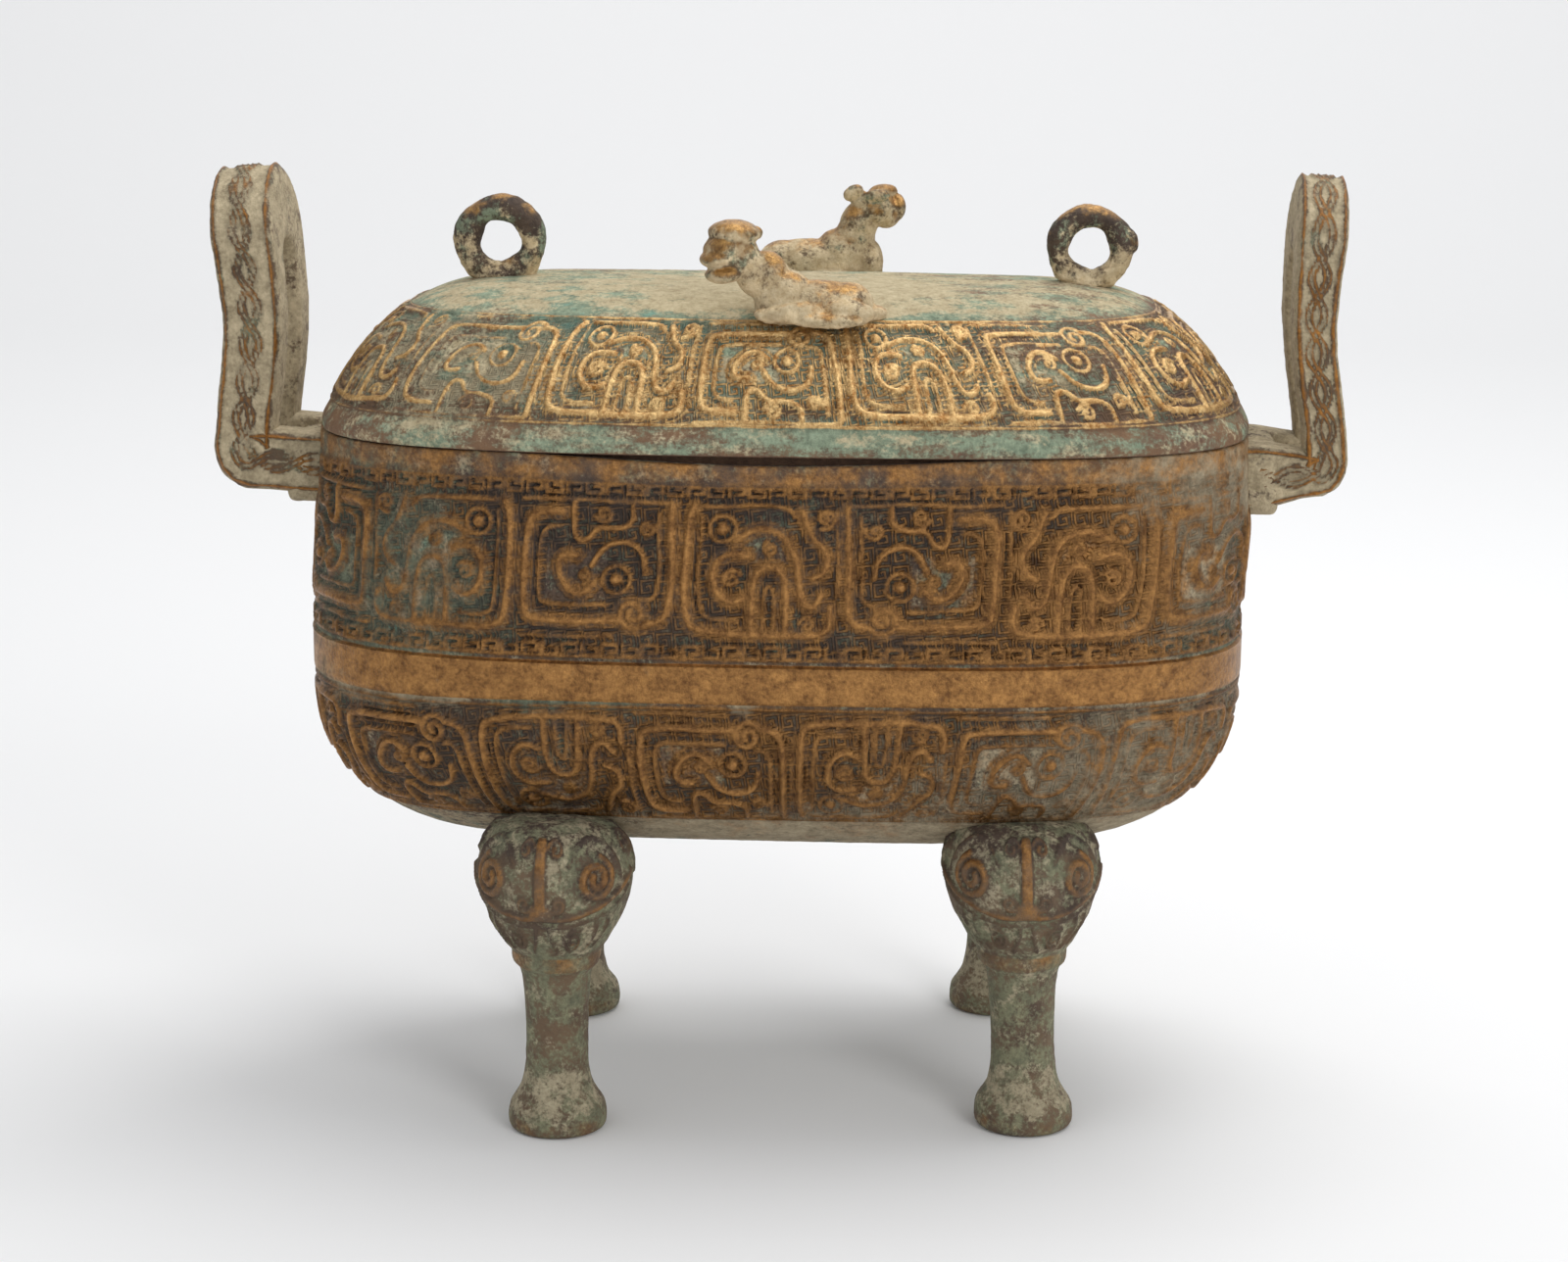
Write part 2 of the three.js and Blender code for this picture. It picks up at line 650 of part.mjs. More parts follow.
// A small lying beast, its head raised and turned, as shares of its own length. It lies along
// X with its head at -X, and its middle on the origin.
function beastForm() {
  const s = BEAST_LENGTH;
  return union([
    ellipsoid([s * 0.08, s * 0.02, s * 0.06], [s * 0.44, s * 0.22, s * 0.19]),
    ellipsoid([-s * 0.27, 0, s * 0.16], [s * 0.19, s * 0.18, s * 0.3], 0, 0.3),
    ellipsoid([-s * 0.33, -s * 0.04, s * 0.42], [s * 0.15, s * 0.14, s * 0.22], 0, -0.25),
    ellipsoid([-s * 0.45, -s * 0.1, s * 0.5], [s * 0.21, s * 0.16, s * 0.15], 0.35, 0.2),
    ellipsoid([-s * 0.56, -s * 0.15, s * 0.43], [s * 0.14, s * 0.14, s * 0.11], 0.35, 0.2),
    ellipsoid([-s * 0.38, -s * 0.2, s * 0.6], [s * 0.1, s * 0.07, s * 0.07], 0.9, 0),
    ellipsoid([-s * 0.33, s * 0.05, s * 0.6], [s * 0.1, s * 0.07, s * 0.07], -0.9, 0),
    ellipsoid([-s * 0.02, -s * 0.19, s * 0.01], [s * 0.3, s * 0.09, s * 0.1], 0.12, 0),
  ]);
}

function beastAt(side, form, cutter) {
  const x = side < 0 ? BEAST_FRONT_X : BEAST_BACK_X;
  const y = side * BEAST_Y;
  const turned = side < 0 ? form : form.rotate([0, 0, 180]);
  return turned.translate([x, y, lidTopAt(x, y)]).subtract(cutter);
}

// The pot, put together

const group = new THREE.Group();

function addNode(name, manifold, colour, roughness, metalness) {
  const material = new THREE.MeshStandardMaterial({ color: colour, roughness, metalness, flatShading: true });
  const mesh = new THREE.Mesh(geometryOf(manifold), material);
  mesh.name = name;
  group.add(mesh);
}

const onBody = bodyCutter();
const onLid = lidCutter();
const leg = legForm();
const handle = handleSolid(onBody);
const beast = beastForm();

addNode('pot_body', potBody(), 0x6f6448, 0.62, 0.55);
for (const [name, sideX, sideY] of [
  ['leg_front_left', -1, -1],
  ['leg_front_right', 1, -1],
  ['leg_back_left', -1, 1],
  ['leg_back_right', 1, 1],
]) {
  addNode(name, legAt(sideX, sideY, leg, onBody), 0x76694a, 0.66, 0.5);
}
addNode('handle_right', handle, 0x8a8263, 0.68, 0.4);
addNode('handle_left', handle.rotate([0, 0, 180]), 0x8a8263, 0.68, 0.4);
addNode('lid', lidSolid(), 0x8f8660, 0.6, 0.5);
addNode('ring_left', ringAt(RING_SHIFT_X - RING_SPREAD_X, onLid), 0x6d6a4c, 0.65, 0.5);
addNode('ring_right', ringAt(RING_SHIFT_X + RING_SPREAD_X, onLid), 0x6d6a4c, 0.65, 0.5);
addNode('beast_front', beastAt(-1, beast, onLid), 0x8c7440, 0.55, 0.6);
addNode('beast_back', beastAt(1, beast, onLid), 0x8c7440, 0.55, 0.6);

export default group;
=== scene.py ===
"""Looks of a gilt bronze covered pot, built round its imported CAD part.

The pot, its lid, four masked legs, two slotted handles, two rings and two small lying beasts
are surfaces worked out with numpy in millimetres and written to Blender in metres. Raised
ornament is real height in the meshes; the finest square spirals and the grain of the
corroded metal are bump in the materials.
"""

import itertools
import logging
import math
from dataclasses import dataclass, field, replace
from enum import Enum

import bpy
import numpy as np
from mathutils import Matrix, Vector

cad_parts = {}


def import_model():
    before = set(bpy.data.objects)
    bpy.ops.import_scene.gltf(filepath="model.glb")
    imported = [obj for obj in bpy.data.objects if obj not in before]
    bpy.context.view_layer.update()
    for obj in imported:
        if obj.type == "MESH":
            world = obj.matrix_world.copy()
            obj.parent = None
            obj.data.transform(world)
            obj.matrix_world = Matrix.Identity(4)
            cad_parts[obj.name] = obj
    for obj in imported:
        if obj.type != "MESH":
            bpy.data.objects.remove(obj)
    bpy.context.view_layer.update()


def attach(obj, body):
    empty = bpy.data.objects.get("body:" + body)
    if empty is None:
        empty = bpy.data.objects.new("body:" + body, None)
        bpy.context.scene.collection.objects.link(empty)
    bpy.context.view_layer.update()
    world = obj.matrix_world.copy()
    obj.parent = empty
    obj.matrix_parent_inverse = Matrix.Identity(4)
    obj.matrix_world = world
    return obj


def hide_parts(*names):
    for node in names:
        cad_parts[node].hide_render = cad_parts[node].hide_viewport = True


LOG = logging.getLogger("covered_pot")
MM = 0.001
Array = np.ndarray


class Carried(Enum):
    """What each point of a surface carries to its material, each from 0 to 1."""

    RELIEF = "relief"
    GILT = "gilt"
    GREEN = "green"
    CRUST = "crust"
    DARK = "dark"
    # Where the fine square spirals lie; with the relief it also sets where painted shade falls.
    FRET = "fret"
    DOTS = "dots"


class Slot(Enum):
    """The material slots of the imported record."""

    BODY = "gilt_bronze_body"
    LID = "gilt_bronze_lid"
    LEGS = "gilt_bronze_legs"
    HANDLES = "patinated_bronze_handles"
    FITTINGS = "gilt_bronze_fittings"


# Sizes, in millimetres


@dataclass(frozen=True)
class PlanSizes:
    """The rounded rectangle that the pot and the lid share: a superellipse whose half-depth
    is r and whose half-length is r plus a fixed core."""

    core: float = 80.0
    half_depth: float = 94.3
    power: float = 3.2
    front_half: float = 252.0
    front_step: float = 0.86
    back_step: float = 1.6


@dataclass(frozen=True)
class PotSizes:
    """Heights and curves of the pot's wall."""

    rim_z: float = 255.0
    shift_x: float = -1.2
    belly_z: float = 96.0
    belly_curve: float = 74.0
    belly_power: float = 2.6
    belly_root: float = 2.1
    wall: float = 4.0
    rim_inset: float = 2.4
    rim_dip: float = 3.0
    rim_dip_half: float = 95.0
    rim_lean: float = 1.7
    belly_hang: float = 2.0
    rim_strip_z: float = 247.0
    band_low_z: float = 166.6
    seam_z: float = 180.0
    band_proud: float = 0.8
    upper_low_z: float = 182.0
    lower_low_z: float = 119.0
    lower_high_z: float = 165.6


@dataclass(frozen=True)
class LidSizes:
    """Heights and curves of the lid."""

    base_z: float = 255.3
    rise: float = 53.5
    edge_height: float = 4.0
    half_depth: float = 92.4
    flat_power: float = 3.5
    side_power: float = 1.1
    wall: float = 3.5
    shift_x: float = 0.4
    lip_depth: float = 6.0
    lip_wall: float = 3.0
    lip_outer: float = 85.7
    relief_low_z: float = 265.0
    relief_high_z: float = 299.8


# Random fields


def value_noise(points: Array, size: float, seed: int) -> Array:
    """Smooth random field: a hashed value at each lattice corner, blended by smoothstep.

    Args:
        points: places in millimetres, shape (..., 3).
        size: lattice step in millimetres.
        seed: picks another field.

    Returns:
        Values from 0 to 1, shape (...).
    """
    place = points / size + seed * 17.31
    cell = np.floor(place).astype(np.int64)
    share = place - cell
    share = share * share * (3.0 - 2.0 * share)
    total = np.zeros(points.shape[:-1])
    for corner in itertools.product((0, 1), repeat=3):
        key = (cell + corner) @ np.array([73856093, 19349663, 83492791])
        key = (key ^ (key >> 13)) * 1274126177 & 0x7FFFFFFF
        value = ((key ^ (key >> 15)) & 0xFFFF) / 65535.0
        weight = np.prod(np.where(np.array(corner) == 1, share, 1.0 - share), axis=-1)
        total += weight * value
    return total


def patchy(points: Array, size: float, seed: int, octaves: int = 3) -> Array:
    """Sum of value noise whose step and weight halve with each octave.

    Args:
        points: places in millimetres, shape (..., 3).
        size: step of the coarsest octave.
        seed: picks another field.
        octaves: how many are summed.

    Returns:
        Values from 0 to 1 about a middle of 0.5.
    """
    weights = 0.5 ** np.arange(octaves)
    layers = [
        weight * value_noise(points, size * weight, seed + index)
        for index, weight in enumerate(weights)
    ]
    return sum(layers) / weights.sum()


def smooth_step(value: Array, low: float, high: float) -> Array:
    """0 below low, 1 above high, and a cubic ease between them (low may exceed high)."""
    share = np.clip((value - low) / (high - low), 0.0, 1.0)
    return share * share * (3.0 - 2.0 * share)


@dataclass(frozen=True)
class Patch:
    """A soft-edged blot on the front of a piece, centred on x and z in millimetres."""

    carried: Carried
    x: float
    z: float
    reach_x: float
    reach_z: float
    strength: float


def add_patches(fields: dict[Carried, Array], points: Array, patches: tuple[Patch, ...]) -> None:
    """Adds each blot to its field: strength times exp(-(dx^2 + dz^2)^1.5), with its outline
    pushed about by noise, on the front half alone.

    Args:
        fields: the fields to change.
        points: places in millimetres.
        patches: the blots.
    """
    drift = 22.0 * (patchy(points, 26.0, 71) - 0.5)
    front = smooth_step(points[..., 1], 30.0, -20.0)
    for blot in patches:
        across = (points[..., 0] - blot.x + drift) / blot.reach_x
        up = (points[..., 2] - blot.z + 0.6 * drift) / blot.reach_z
        weight = np.exp(-((across**2 + up**2) ** 1.5))
        fields[blot.carried] = fields[blot.carried] + blot.strength * weight * front


# Surfaces on grids


@dataclass
class Skin:
    """A surface on a grid of rows by columns, with what its points carry."""

    points: Array
    fields: dict[Carried, Array]
    along: Array
    up: Array
    wrap_rows: bool = False
    wrap_columns: bool = True
    cap_first: bool = False
    cap_last: bool = False

    def quads(self) -> tuple[Array, Array]:
        """Corner indices of each quad, and the row and column of each corner.

        Returns:
            Indices of shape (n, 4), and pairs (row, column) of shape (n, 4, 2) that are
            not wrapped, so that a pattern doesn't jump where the grid closes.
        """
        rows, columns = self.points.shape[:2]
        row = np.arange(rows if self.wrap_rows else rows - 1)
        column = np.arange(columns if self.wrap_columns else columns - 1)
        i, j = (a.ravel() for a in np.meshgrid(row, column, indexing="ij"))
        pairs = np.stack(
            [
                np.stack([i, j], -1),
                np.stack([i, j + 1], -1),
                np.stack([i + 1, j + 1], -1),
                np.stack([i + 1, j], -1),
            ],
            axis=1,
        )
        index = (pairs[..., 0] % rows) * columns + pairs[..., 1] % columns
        return index, pairs


def blank_fields(shape: tuple[int, ...]) -> dict[Carried, Array]:
    """Every carried field at 0, or at its neutral 0.5 where it only tips a balance."""
    neutral = (Carried.GREEN, Carried.CRUST, Carried.DARK, Carried.GILT)
    return {kind: np.full(shape, 0.5 if kind in neutral else 0.0) for kind in Carried}


def mesh_of(name: str, skins: list[Skin], sharp_degrees: float = 80.0) -> bpy.types.Object:
    """Writes one or more grid surfaces into one mesh in metres, shaded smooth.

    Args:
        name: the object's name.
        skins: the surfaces.
        sharp_degrees: edges that bend more than this stay crisp.

    Returns:
        The new object, at the origin.
    """
    corners, sizes, places, maps = [], [], [], []
    offset = 0
    for skin in skins:
        index, pairs = skin.quads()
        rows, columns = skin.points.shape[:2]
        corners.append((index + offset).ravel())
        sizes.append(np.full(len(index), 4))
        along = np.interp(pairs[..., 1], np.arange(len(skin.along)), skin.along)
        up = np.interp(pairs[..., 0], np.arange(len(skin.up)), skin.up)
        maps.append(np.stack([along, up], -1).reshape(-1, 2))
        for is_capped, first, step in ((skin.cap_first, 0, -1), (skin.cap_last, rows - 1, 1)):
            if is_capped:
                ring = (np.arange(columns) + first * columns + offset)[::step]
                corners.append(ring)
                sizes.append(np.array([columns]))
                maps.append(np.zeros((columns, 2)))
        places.append(skin.points.reshape(-1, 3))
        offset += rows * columns
    vertices = np.concatenate(places) * MM
    loops = np.concatenate(corners).astype(np.int32)
    lengths = np.concatenate(sizes).astype(np.int32)
    mesh = bpy.data.meshes.new(name)
    mesh.vertices.add(len(vertices))
    mesh.vertices.foreach_set("co", vertices.astype(np.float32).ravel())
    mesh.loops.add(len(loops))
    mesh.loops.foreach_set("vertex_index", loops)
    mesh.polygons.add(len(lengths))
    mesh.polygons.foreach_set("loop_start", np.concatenate([[0], np.cumsum(lengths)[:-1]]).astype(np.int32))
    mesh.polygons.foreach_set("use_smooth", np.ones(len(lengths), bool))
    mesh.update(calc_edges=True)
    layer = mesh.uv_layers.new(name="surface_mm")
    layer.data.foreach_set("uv", (np.concatenate(maps) * MM).astype(np.float32).ravel())
    mesh.set_sharp_from_angle(angle=math.radians(sharp_degrees))
    write_fields(mesh, {k: np.concatenate([s.fields[k].ravel() for s in skins]) for k in Carried})
    mesh.validate()
    piece = bpy.data.objects.new(name, mesh)
    bpy.context.scene.collection.objects.link(piece)
    return piece


def write_fields(mesh: bpy.types.Mesh, fields: dict[Carried, Array]) -> None:
    """Writes each carried field to the mesh as an attribute of its points."""
    for kind in Carried:
        attribute = mesh.attributes.new(kind.value, "FLOAT", "POINT")
        attribute.data.foreach_set("value", np.clip(fields[kind], 0.0, 1.0).astype(np.float32))


# Raised ornament


@dataclass(frozen=True)
class Line:
    """A raised line through points given as shares of a panel, rounded at its corners."""

    points: tuple[tuple[float, float], ...]
    width: float = 2.2
    height: float = 1.0

    def path(self, scale: Array) -> Array:
        """The line in millimetres, its corners cut twice at a quarter and three quarters."""
        path = np.array(self.points) * scale
        for _ in range(2):
            before, after = path[:-1], path[1:]
            cut = np.stack([0.75 * before + 0.25 * after, 0.25 * before + 0.75 * after], 1)
            path = np.concatenate([path[:1], cut.reshape(-1, 2), path[-1:]])
        return path


@dataclass(frozen=True)
class Curl:
    """A raised spiral: its radius shrinks in proportion to the angle turned."""

    centre: tuple[float, float]
    radius: float
    turns: float = 1.5
    start: float = 0.0
    hand: int = 1
    width: float = 1.8
    height: float = 0.9

    def path(self, scale: Array) -> Array:
        """The spiral in millimetres round its centre."""
        share = np.linspace(0.0, 1.0, int(14 * self.turns) + 4)
        angle = math.radians(self.start) + self.hand * 2.0 * math.pi * self.turns * share
        radius = self.radius * (1.0 - 0.82 * share)
        offset = np.stack([np.cos(angle), np.sin(angle)], -1) * radius[:, None]
        return np.array(self.centre) * scale + offset


@dataclass(frozen=True)
class Boss:
    """A round raised knob with a ring about it."""

    centre: tuple[float, float]
    radius: float = 2.6
    height: float = 1.2
    ring: float = 4.8


@dataclass(frozen=True)
class DotField:
    """A rectangle of a panel that is filled with small round grains."""

    low: tuple[float, float]
    high: tuple[float, float]


Ornament = Line | Curl | Boss | DotField

PANELS_ROUND = 16
BOLD_WIDTH = 2.0
UNDERLAY_HEIGHT = 0.42

EYE_PANEL: tuple[Ornament, ...] = (
    Line(((0.04, 0.05), (0.04, 0.74), (0.10, 0.85), (0.19, 0.87)), 2.5),
    Curl((0.27, 0.81), 5.6, 1.6, 150, -1, 2.1),
    Line(((0.36, 0.86), (0.89, 0.86), (0.95, 0.78), (0.95, 0.19), (0.88, 0.11), (0.71, 0.11)), 2.5),
    Line(
        ((0.42, 0.75), (0.82, 0.75), (0.865, 0.68), (0.865, 0.28), (0.80, 0.21), (0.73, 0.21)),
        1.5,
        0.7,
    ),
    Line(((0.12, 0.10), (0.12, 0.64), (0.17, 0.71), (0.22, 0.70)), 1.5, 0.7),
    Boss((0.37, 0.58), 2.5, 1.25, 4.9),
    Line(((0.51, 0.60), (0.58, 0.68), (0.68, 0.64), (0.75, 0.50), (0.72, 0.40), (0.63, 0.41)), 2.2),
    Line(((0.20, 0.52), (0.22, 0.37), (0.33, 0.30), (0.46, 0.34), (0.53, 0.48)), 2.0),
    Line(
        ((0.29, 0.05), (0.29, 0.18), (0.40, 0.22), (0.50, 0.20), (0.56, 0.31), (0.64, 0.30), (0.645, 0.05)),
        1.9,
    ),
    Curl((0.47, 0.115), 3.3, 1.3, 20, 1, 1.5, 0.8),
    Curl((0.20, 0.20), 3.2, 1.3, 200, -1, 1.5, 0.8),
    Curl((0.58, 0.55), 2.8, 1.2, 90, 1, 1.4, 0.8),
    Line(((0.04, 0.025), (0.97, 0.025)), 1.5, 0.7),
    Line(((0.40, 0.965), (0.97, 0.965)), 1.4, 0.6),
    DotField((0.42, 0.36), (0.84, 0.74)),
)

ARCH_PANEL: tuple[Ornament, ...] = (
    Line(
        ((0.09, 0.95), (0.05, 0.84), (0.05, 0.19), (0.12, 0.07), (0.88, 0.07), (0.95, 0.14), (0.94, 0.27)),
        2.5,
    ),
    Line(((0.14, 0.88), (0.13, 0.25), (0.19, 0.165), (0.37, 0.165)), 1.5, 0.7),
    Line(((0.455, 0.08), (0.455, 0.42), (0.50, 0.55), (0.61, 0.55), (0.665, 0.42), (0.665, 0.08)), 2.3),
    Line(((0.525, 0.08), (0.525, 0.36), (0.56, 0.43), (0.595, 0.36), (0.595, 0.08)), 1.4, 0.7),
    Line(((0.42, 0.62), (0.29, 0.64), (0.215, 0.53), (0.235, 0.36), (0.33, 0.28), (0.41, 0.33)), 2.2),
    Line(
        ((0.36, 0.73), (0.47, 0.80), (0.62, 0.77), (0.72, 0.63), (0.745, 0.31), (0.83, 0.26), (0.88, 0.35)),
        2.2,
    ),
    Line(((0.76, 0.92), (0.82, 0.74), (0.91, 0.65), (0.90, 0.50), (0.82, 0.46)), 2.2),
    Curl((0.335, 0.46), 3.5, 1.4, 30, 1, 1.6),
    Boss((0.27, 0.80), 2.4, 1.2, 4.6),
    Line(((0.16, 0.955), (0.66, 0.955), (0.71, 0.89)), 1.8, 0.9),
    Curl((0.90, 0.88), 3.8, 1.4, 250, 1, 1.7),
    Curl((0.80, 0.155), 3.0, 1.2, 180, -1, 1.5, 0.8),
    Curl((0.56, 0.67), 2.7, 1.2, 120, 1, 1.4, 0.8),
    Line(((0.975, 0.93), (0.975, 0.34)), 1.5, 0.7),
    DotField((0.36, 0.56), (0.72, 0.80)),
)


def distance_to_path(places: Array, path: Array) -> Array:
    """Shortest distance from each place to an open path of straight parts.

    Args:
        places: shape (n, 2).
        path: shape (m, 2).

    Returns:
        Distances, shape (n,).
    """
    start, step = path[:-1], np.diff(path, axis=0)
    offset = places[:, None, :] - start[None]
    length = np.maximum((step**2).sum(-1), 1e-9)
    share = np.clip((offset * step[None]).sum(-1) / length, 0.0, 1.0)
    gap = offset - share[..., None] * step[None]
    return np.sqrt((gap**2).sum(-1)).min(1)


def crest(distance: Array, width: float) -> Array:
    """Section of a raised line: a rounded top that falls to 0 at half its width and a bit."""
    share = np.clip(distance / (0.5 * width + 0.35), 0.0, 1.0)
    return (1.0 - share**2) ** 0.7


@dataclass(frozen=True)
class Belt:
    """A belt of panels round the pot or the lid. Every other panel is the other ornament,
    and the order of turning over makes the run look braided. The strip is the height of the
    row of hooks at either edge, the plate the width of the ribbon under each bold line, and
    the drift how far the lines wander from true."""

    height: float
    first_x: float
    pitch: float
    strip: float
    flips: tuple[tuple[bool, bool], ...]
    plate: float = 0.0
    count: int = PANELS_ROUND
    panels: tuple[tuple[Ornament, ...], ...] = (EYE_PANEL, ARCH_PANEL)
    overlap: float = 7.0
    strip_cells: int = 8
    echo_gap: float = 2.5
    drift: float = 1.5
    wander_size: float = 17.0
    strip_hook: tuple[tuple[float, float], ...] = (
        (0.12, 0.12), (0.12, 0.86), (0.86, 0.86), (0.86, 0.36), (0.46, 0.36),
    )

    def lay(self, along: Array, up: Array, outside: Array) -> tuple[Array, Array, Array]:
        """The ornament over a grid of places.

        Args:
            along: distance round the plan, shape (rows, columns).
            up: distance up the belt, shape (rows, columns).
            outside: which rows are on the outside, shape (rows,).

        Returns:
            Height, how much of a dotted field each place is, and how strongly the belt
            shows: it fades in the last millimetre at its edges, and is 0 on the inside.
        """
        on_belt = outside[:, None] & (up > -0.5) & (up < self.height + 0.5)
        raised = np.zeros(up.shape)
        dotted = np.zeros(up.shape)
        raised[on_belt], dotted[on_belt] = self.carve(along[on_belt], up[on_belt])
        fade = smooth_step(up, -0.5, 0.8) * smooth_step(up, self.height + 0.5, self.height - 0.8)
        return raised, dotted, fade * outside[:, None]

    def carve(self, along: Array, up: Array) -> tuple[Array, Array]:
        """Height of the ornament at places on the belt.

        Args:
            along: distance round the plan from the middle of the front, shape (n,).
            up: distance up the belt, shape (n,).

        Returns:
            Height from 0 to about 1.2, and how much of a dotted field each place is.
        """
        raised = np.zeros(len(along))
        dotted = np.zeros(len(along))
        size = np.array([self.pitch, self.height - 2.0 * self.strip])
        whole = self.pitch * self.count
        for number in range(self.count):
            start = self.first_x + number * self.pitch
            local = (along - start + 0.5 * whole) % whole - 0.5 * whole
            near = np.flatnonzero((local > -self.overlap) & (local < self.pitch + self.overlap))
            if not near.size:
                continue
            turned_across, turned_up = self.flips[number % len(self.flips)]
            u = self.pitch - local[near] if turned_across else local[near]
            v = up[near] - self.strip
            v = size[1] - v if turned_up else v
            places = np.stack([u, v], -1)
            wander = np.stack([along[near], up[near], np.zeros(len(near))], -1)
            places[:, 0] += self.drift * (value_noise(wander, self.wander_size, 23) - 0.5)
            places[:, 1] += self.drift * (value_noise(wander, self.wander_size, 29) - 0.5)
            panel = self.panels[number % len(self.panels)]
            height, dots = carve_panel(places, panel, size, self.plate, self.echo_gap)
            raised[near] = np.maximum(raised[near], height)
            dotted[near] = np.maximum(dotted[near], dots)
        for line in (0.9, self.height - 0.9):
            raised = np.maximum(raised, 0.7 * crest(np.abs(up - line), 1.3))
        for low in (0.8, self.height - self.strip + 0.6):
            if self.strip > 3.0:
                raised = np.maximum(raised, self.carve_strip(along, up - low))
        return raised, dotted

    def carve_strip(self, along: Array, up: Array) -> Array:
        """A row of small square hooks in a strip along the belt's edge, every other one
        turned over.

        Args:
            along: distance round the plan, shape (n,).
            up: distance up from the strip's foot, shape (n,).

        Returns:
            Height from 0 to about 0.8.
        """
        cell = np.array([self.pitch / self.strip_cells, self.strip - 1.2])
        number = np.floor(along / cell[0])
        across = along - number * cell[0]
        level = np.where(number % 2 == 0, up, cell[1] - up)
        inside = np.flatnonzero((up > -0.5) & (up < cell[1] + 0.5))
        raised = np.zeros(len(along))
        places = np.stack([across, level], -1)[inside]
        raised[inside] = 0.75 * crest(distance_to_path(places, np.array(self.strip_hook) * cell), 1.1)
        return raised


def carve_panel(
    places: Array, panel: tuple[Ornament, ...], size: Array, plate: float, echo_gap: float = 0.0
) -> tuple[Array, Array]:
    """Height of one panel's ornament, the highest of its forms at each place.

    Args:
        places: millimetres in the panel, shape (n, 2).
        panel: the forms.
        size: the panel's width and height in millimetres.
        plate: width of the low ribbon under each bold line, or 0 for none.
        echo_gap: distance of the fine line that runs round each bold one, or 0 for none.

    Returns:
        Height from 0 to about 1.2, and 1 inside a dotted field.
    """
    raised = np.zeros(len(places))
    dotted = np.zeros(len(places))
    for form in panel:
        if isinstance(form, DotField):
            low, high = np.array(form.low) * size, np.array(form.high) * size
            inside = np.minimum(places - low, high - places).min(-1)
            dotted = np.maximum(dotted, smooth_step(inside, 0.0, 1.5))
            continue
        if isinstance(form, Boss):
            gap = np.linalg.norm(places - np.array(form.centre) * size, axis=-1)
            dome = form.height * np.sqrt(np.clip(1.0 - (gap / form.radius) ** 2, 0.0, 1.0))
            raised = np.maximum(raised, np.maximum(dome, 0.8 * crest(np.abs(gap - form.ring), 1.5)))
            continue
        gap = distance_to_path(places, form.path(size))
        raised = np.maximum(raised, form.height * crest(gap, form.width))
        if plate and form.width > BOLD_WIDTH:
            ribbon = smooth_step(gap, 0.5 * plate + 0.5, 0.5 * plate - 0.5)
            raised = np.maximum(raised, UNDERLAY_HEIGHT * ribbon)
        if echo_gap and form.width > BOLD_WIDTH:
            echo = crest(np.abs(gap - echo_gap), 0.8)
            raised = np.maximum(raised, UNDERLAY_HEIGHT * echo)
    return raised, dotted


# The plan


class Plan:
    """The rounded rectangular plan, with columns close together on the front."""

    def __init__(self, sizes: PlanSizes) -> None:
        """Measures the plan once round and lays out the columns by distance.

        Args:
            sizes: the plan's sizes.
        """
        self.sizes = sizes
        turn = np.linspace(-0.5 * math.pi, 1.5 * math.pi, 28801)
        unit = self.unit(turn)
        edge = self.at(np.array([sizes.half_depth]), unit)[0]
        travelled = profile_length(edge[:, 0], edge[:, 1])
        self.perimeter = float(travelled[-1])
        half = sizes.front_half
        front = np.linspace(-half, half, round(2 * half / sizes.front_step), endpoint=False)
        rest = self.perimeter - 2 * half
        back = np.linspace(half, half + rest, round(rest / sizes.back_step), endpoint=False)
        self.along = np.concatenate([front, back])
        angle = np.interp(self.along % self.perimeter, travelled, turn)
        self.columns = self.unit(angle)

    def unit(self, turn: Array) -> Array:
        """Point of the unit superellipse in each direction: the direction divided by the
        power-sum of its parts. Shape (n, 2)."""
        direction = np.stack([np.cos(turn), np.sin(turn)], -1)
        power = self.sizes.power
        size = (np.abs(direction) ** power).sum(-1) ** (-1.0 / power)
        return direction * size[:, None]

    def at(self, radius: Array, unit: Array) -> Array:
        """Plan points: x is (radius + core) times the unit's x, and y is radius times its y.

        Args:
            radius: half-depths, shape (rows,) or (rows, columns).
            unit: unit plan, shape (columns, 2).

        Returns:
            Points of shape (rows, columns, 2).
        """
        spread = radius[:, None] if radius.ndim == 1 else radius
        x = (spread + self.sizes.core) * unit[:, 0]
        return np.stack([x, spread * unit[:, 1]], -1)

    def surface(self, radius: Array, height: Array) -> Array:
        """The profile carried round the plan.

        Args:
            radius: half-depths, shape (rows,) or (rows, columns).
            height: heights, shape (rows, 1) or (rows, columns).

        Returns:
            Points of shape (rows, columns, 3).
        """
        level = np.broadcast_to(height, (len(radius), len(self.columns)))
        return np.concatenate([self.at(radius, self.columns), level[..., None]], -1)

    def half_depth_at(self, x: Array, y: Array) -> Array:
        """Half-depth of the plan that passes through x and y, by bisection."""
        low = np.zeros(np.shape(x))
        high = np.full(np.shape(x), 2.0 * self.sizes.half_depth)
        for _ in range(24):
            middle = 0.5 * (low + high)
            share_x = np.abs(x) / (middle + self.sizes.core)
            share_y = np.abs(y) / np.maximum(middle, 1e-6)
            outside = share_x**self.sizes.power + share_y**self.sizes.power > 1.0
            low = np.where(outside, middle, low)
            high = np.where(outside, high, middle)
        return 0.5 * (low + high)

    def closed_along(self) -> Array:
        """Distance of every column and of the first one again, for patterns."""
        return np.append(self.along, self.along[0] + self.perimeter)


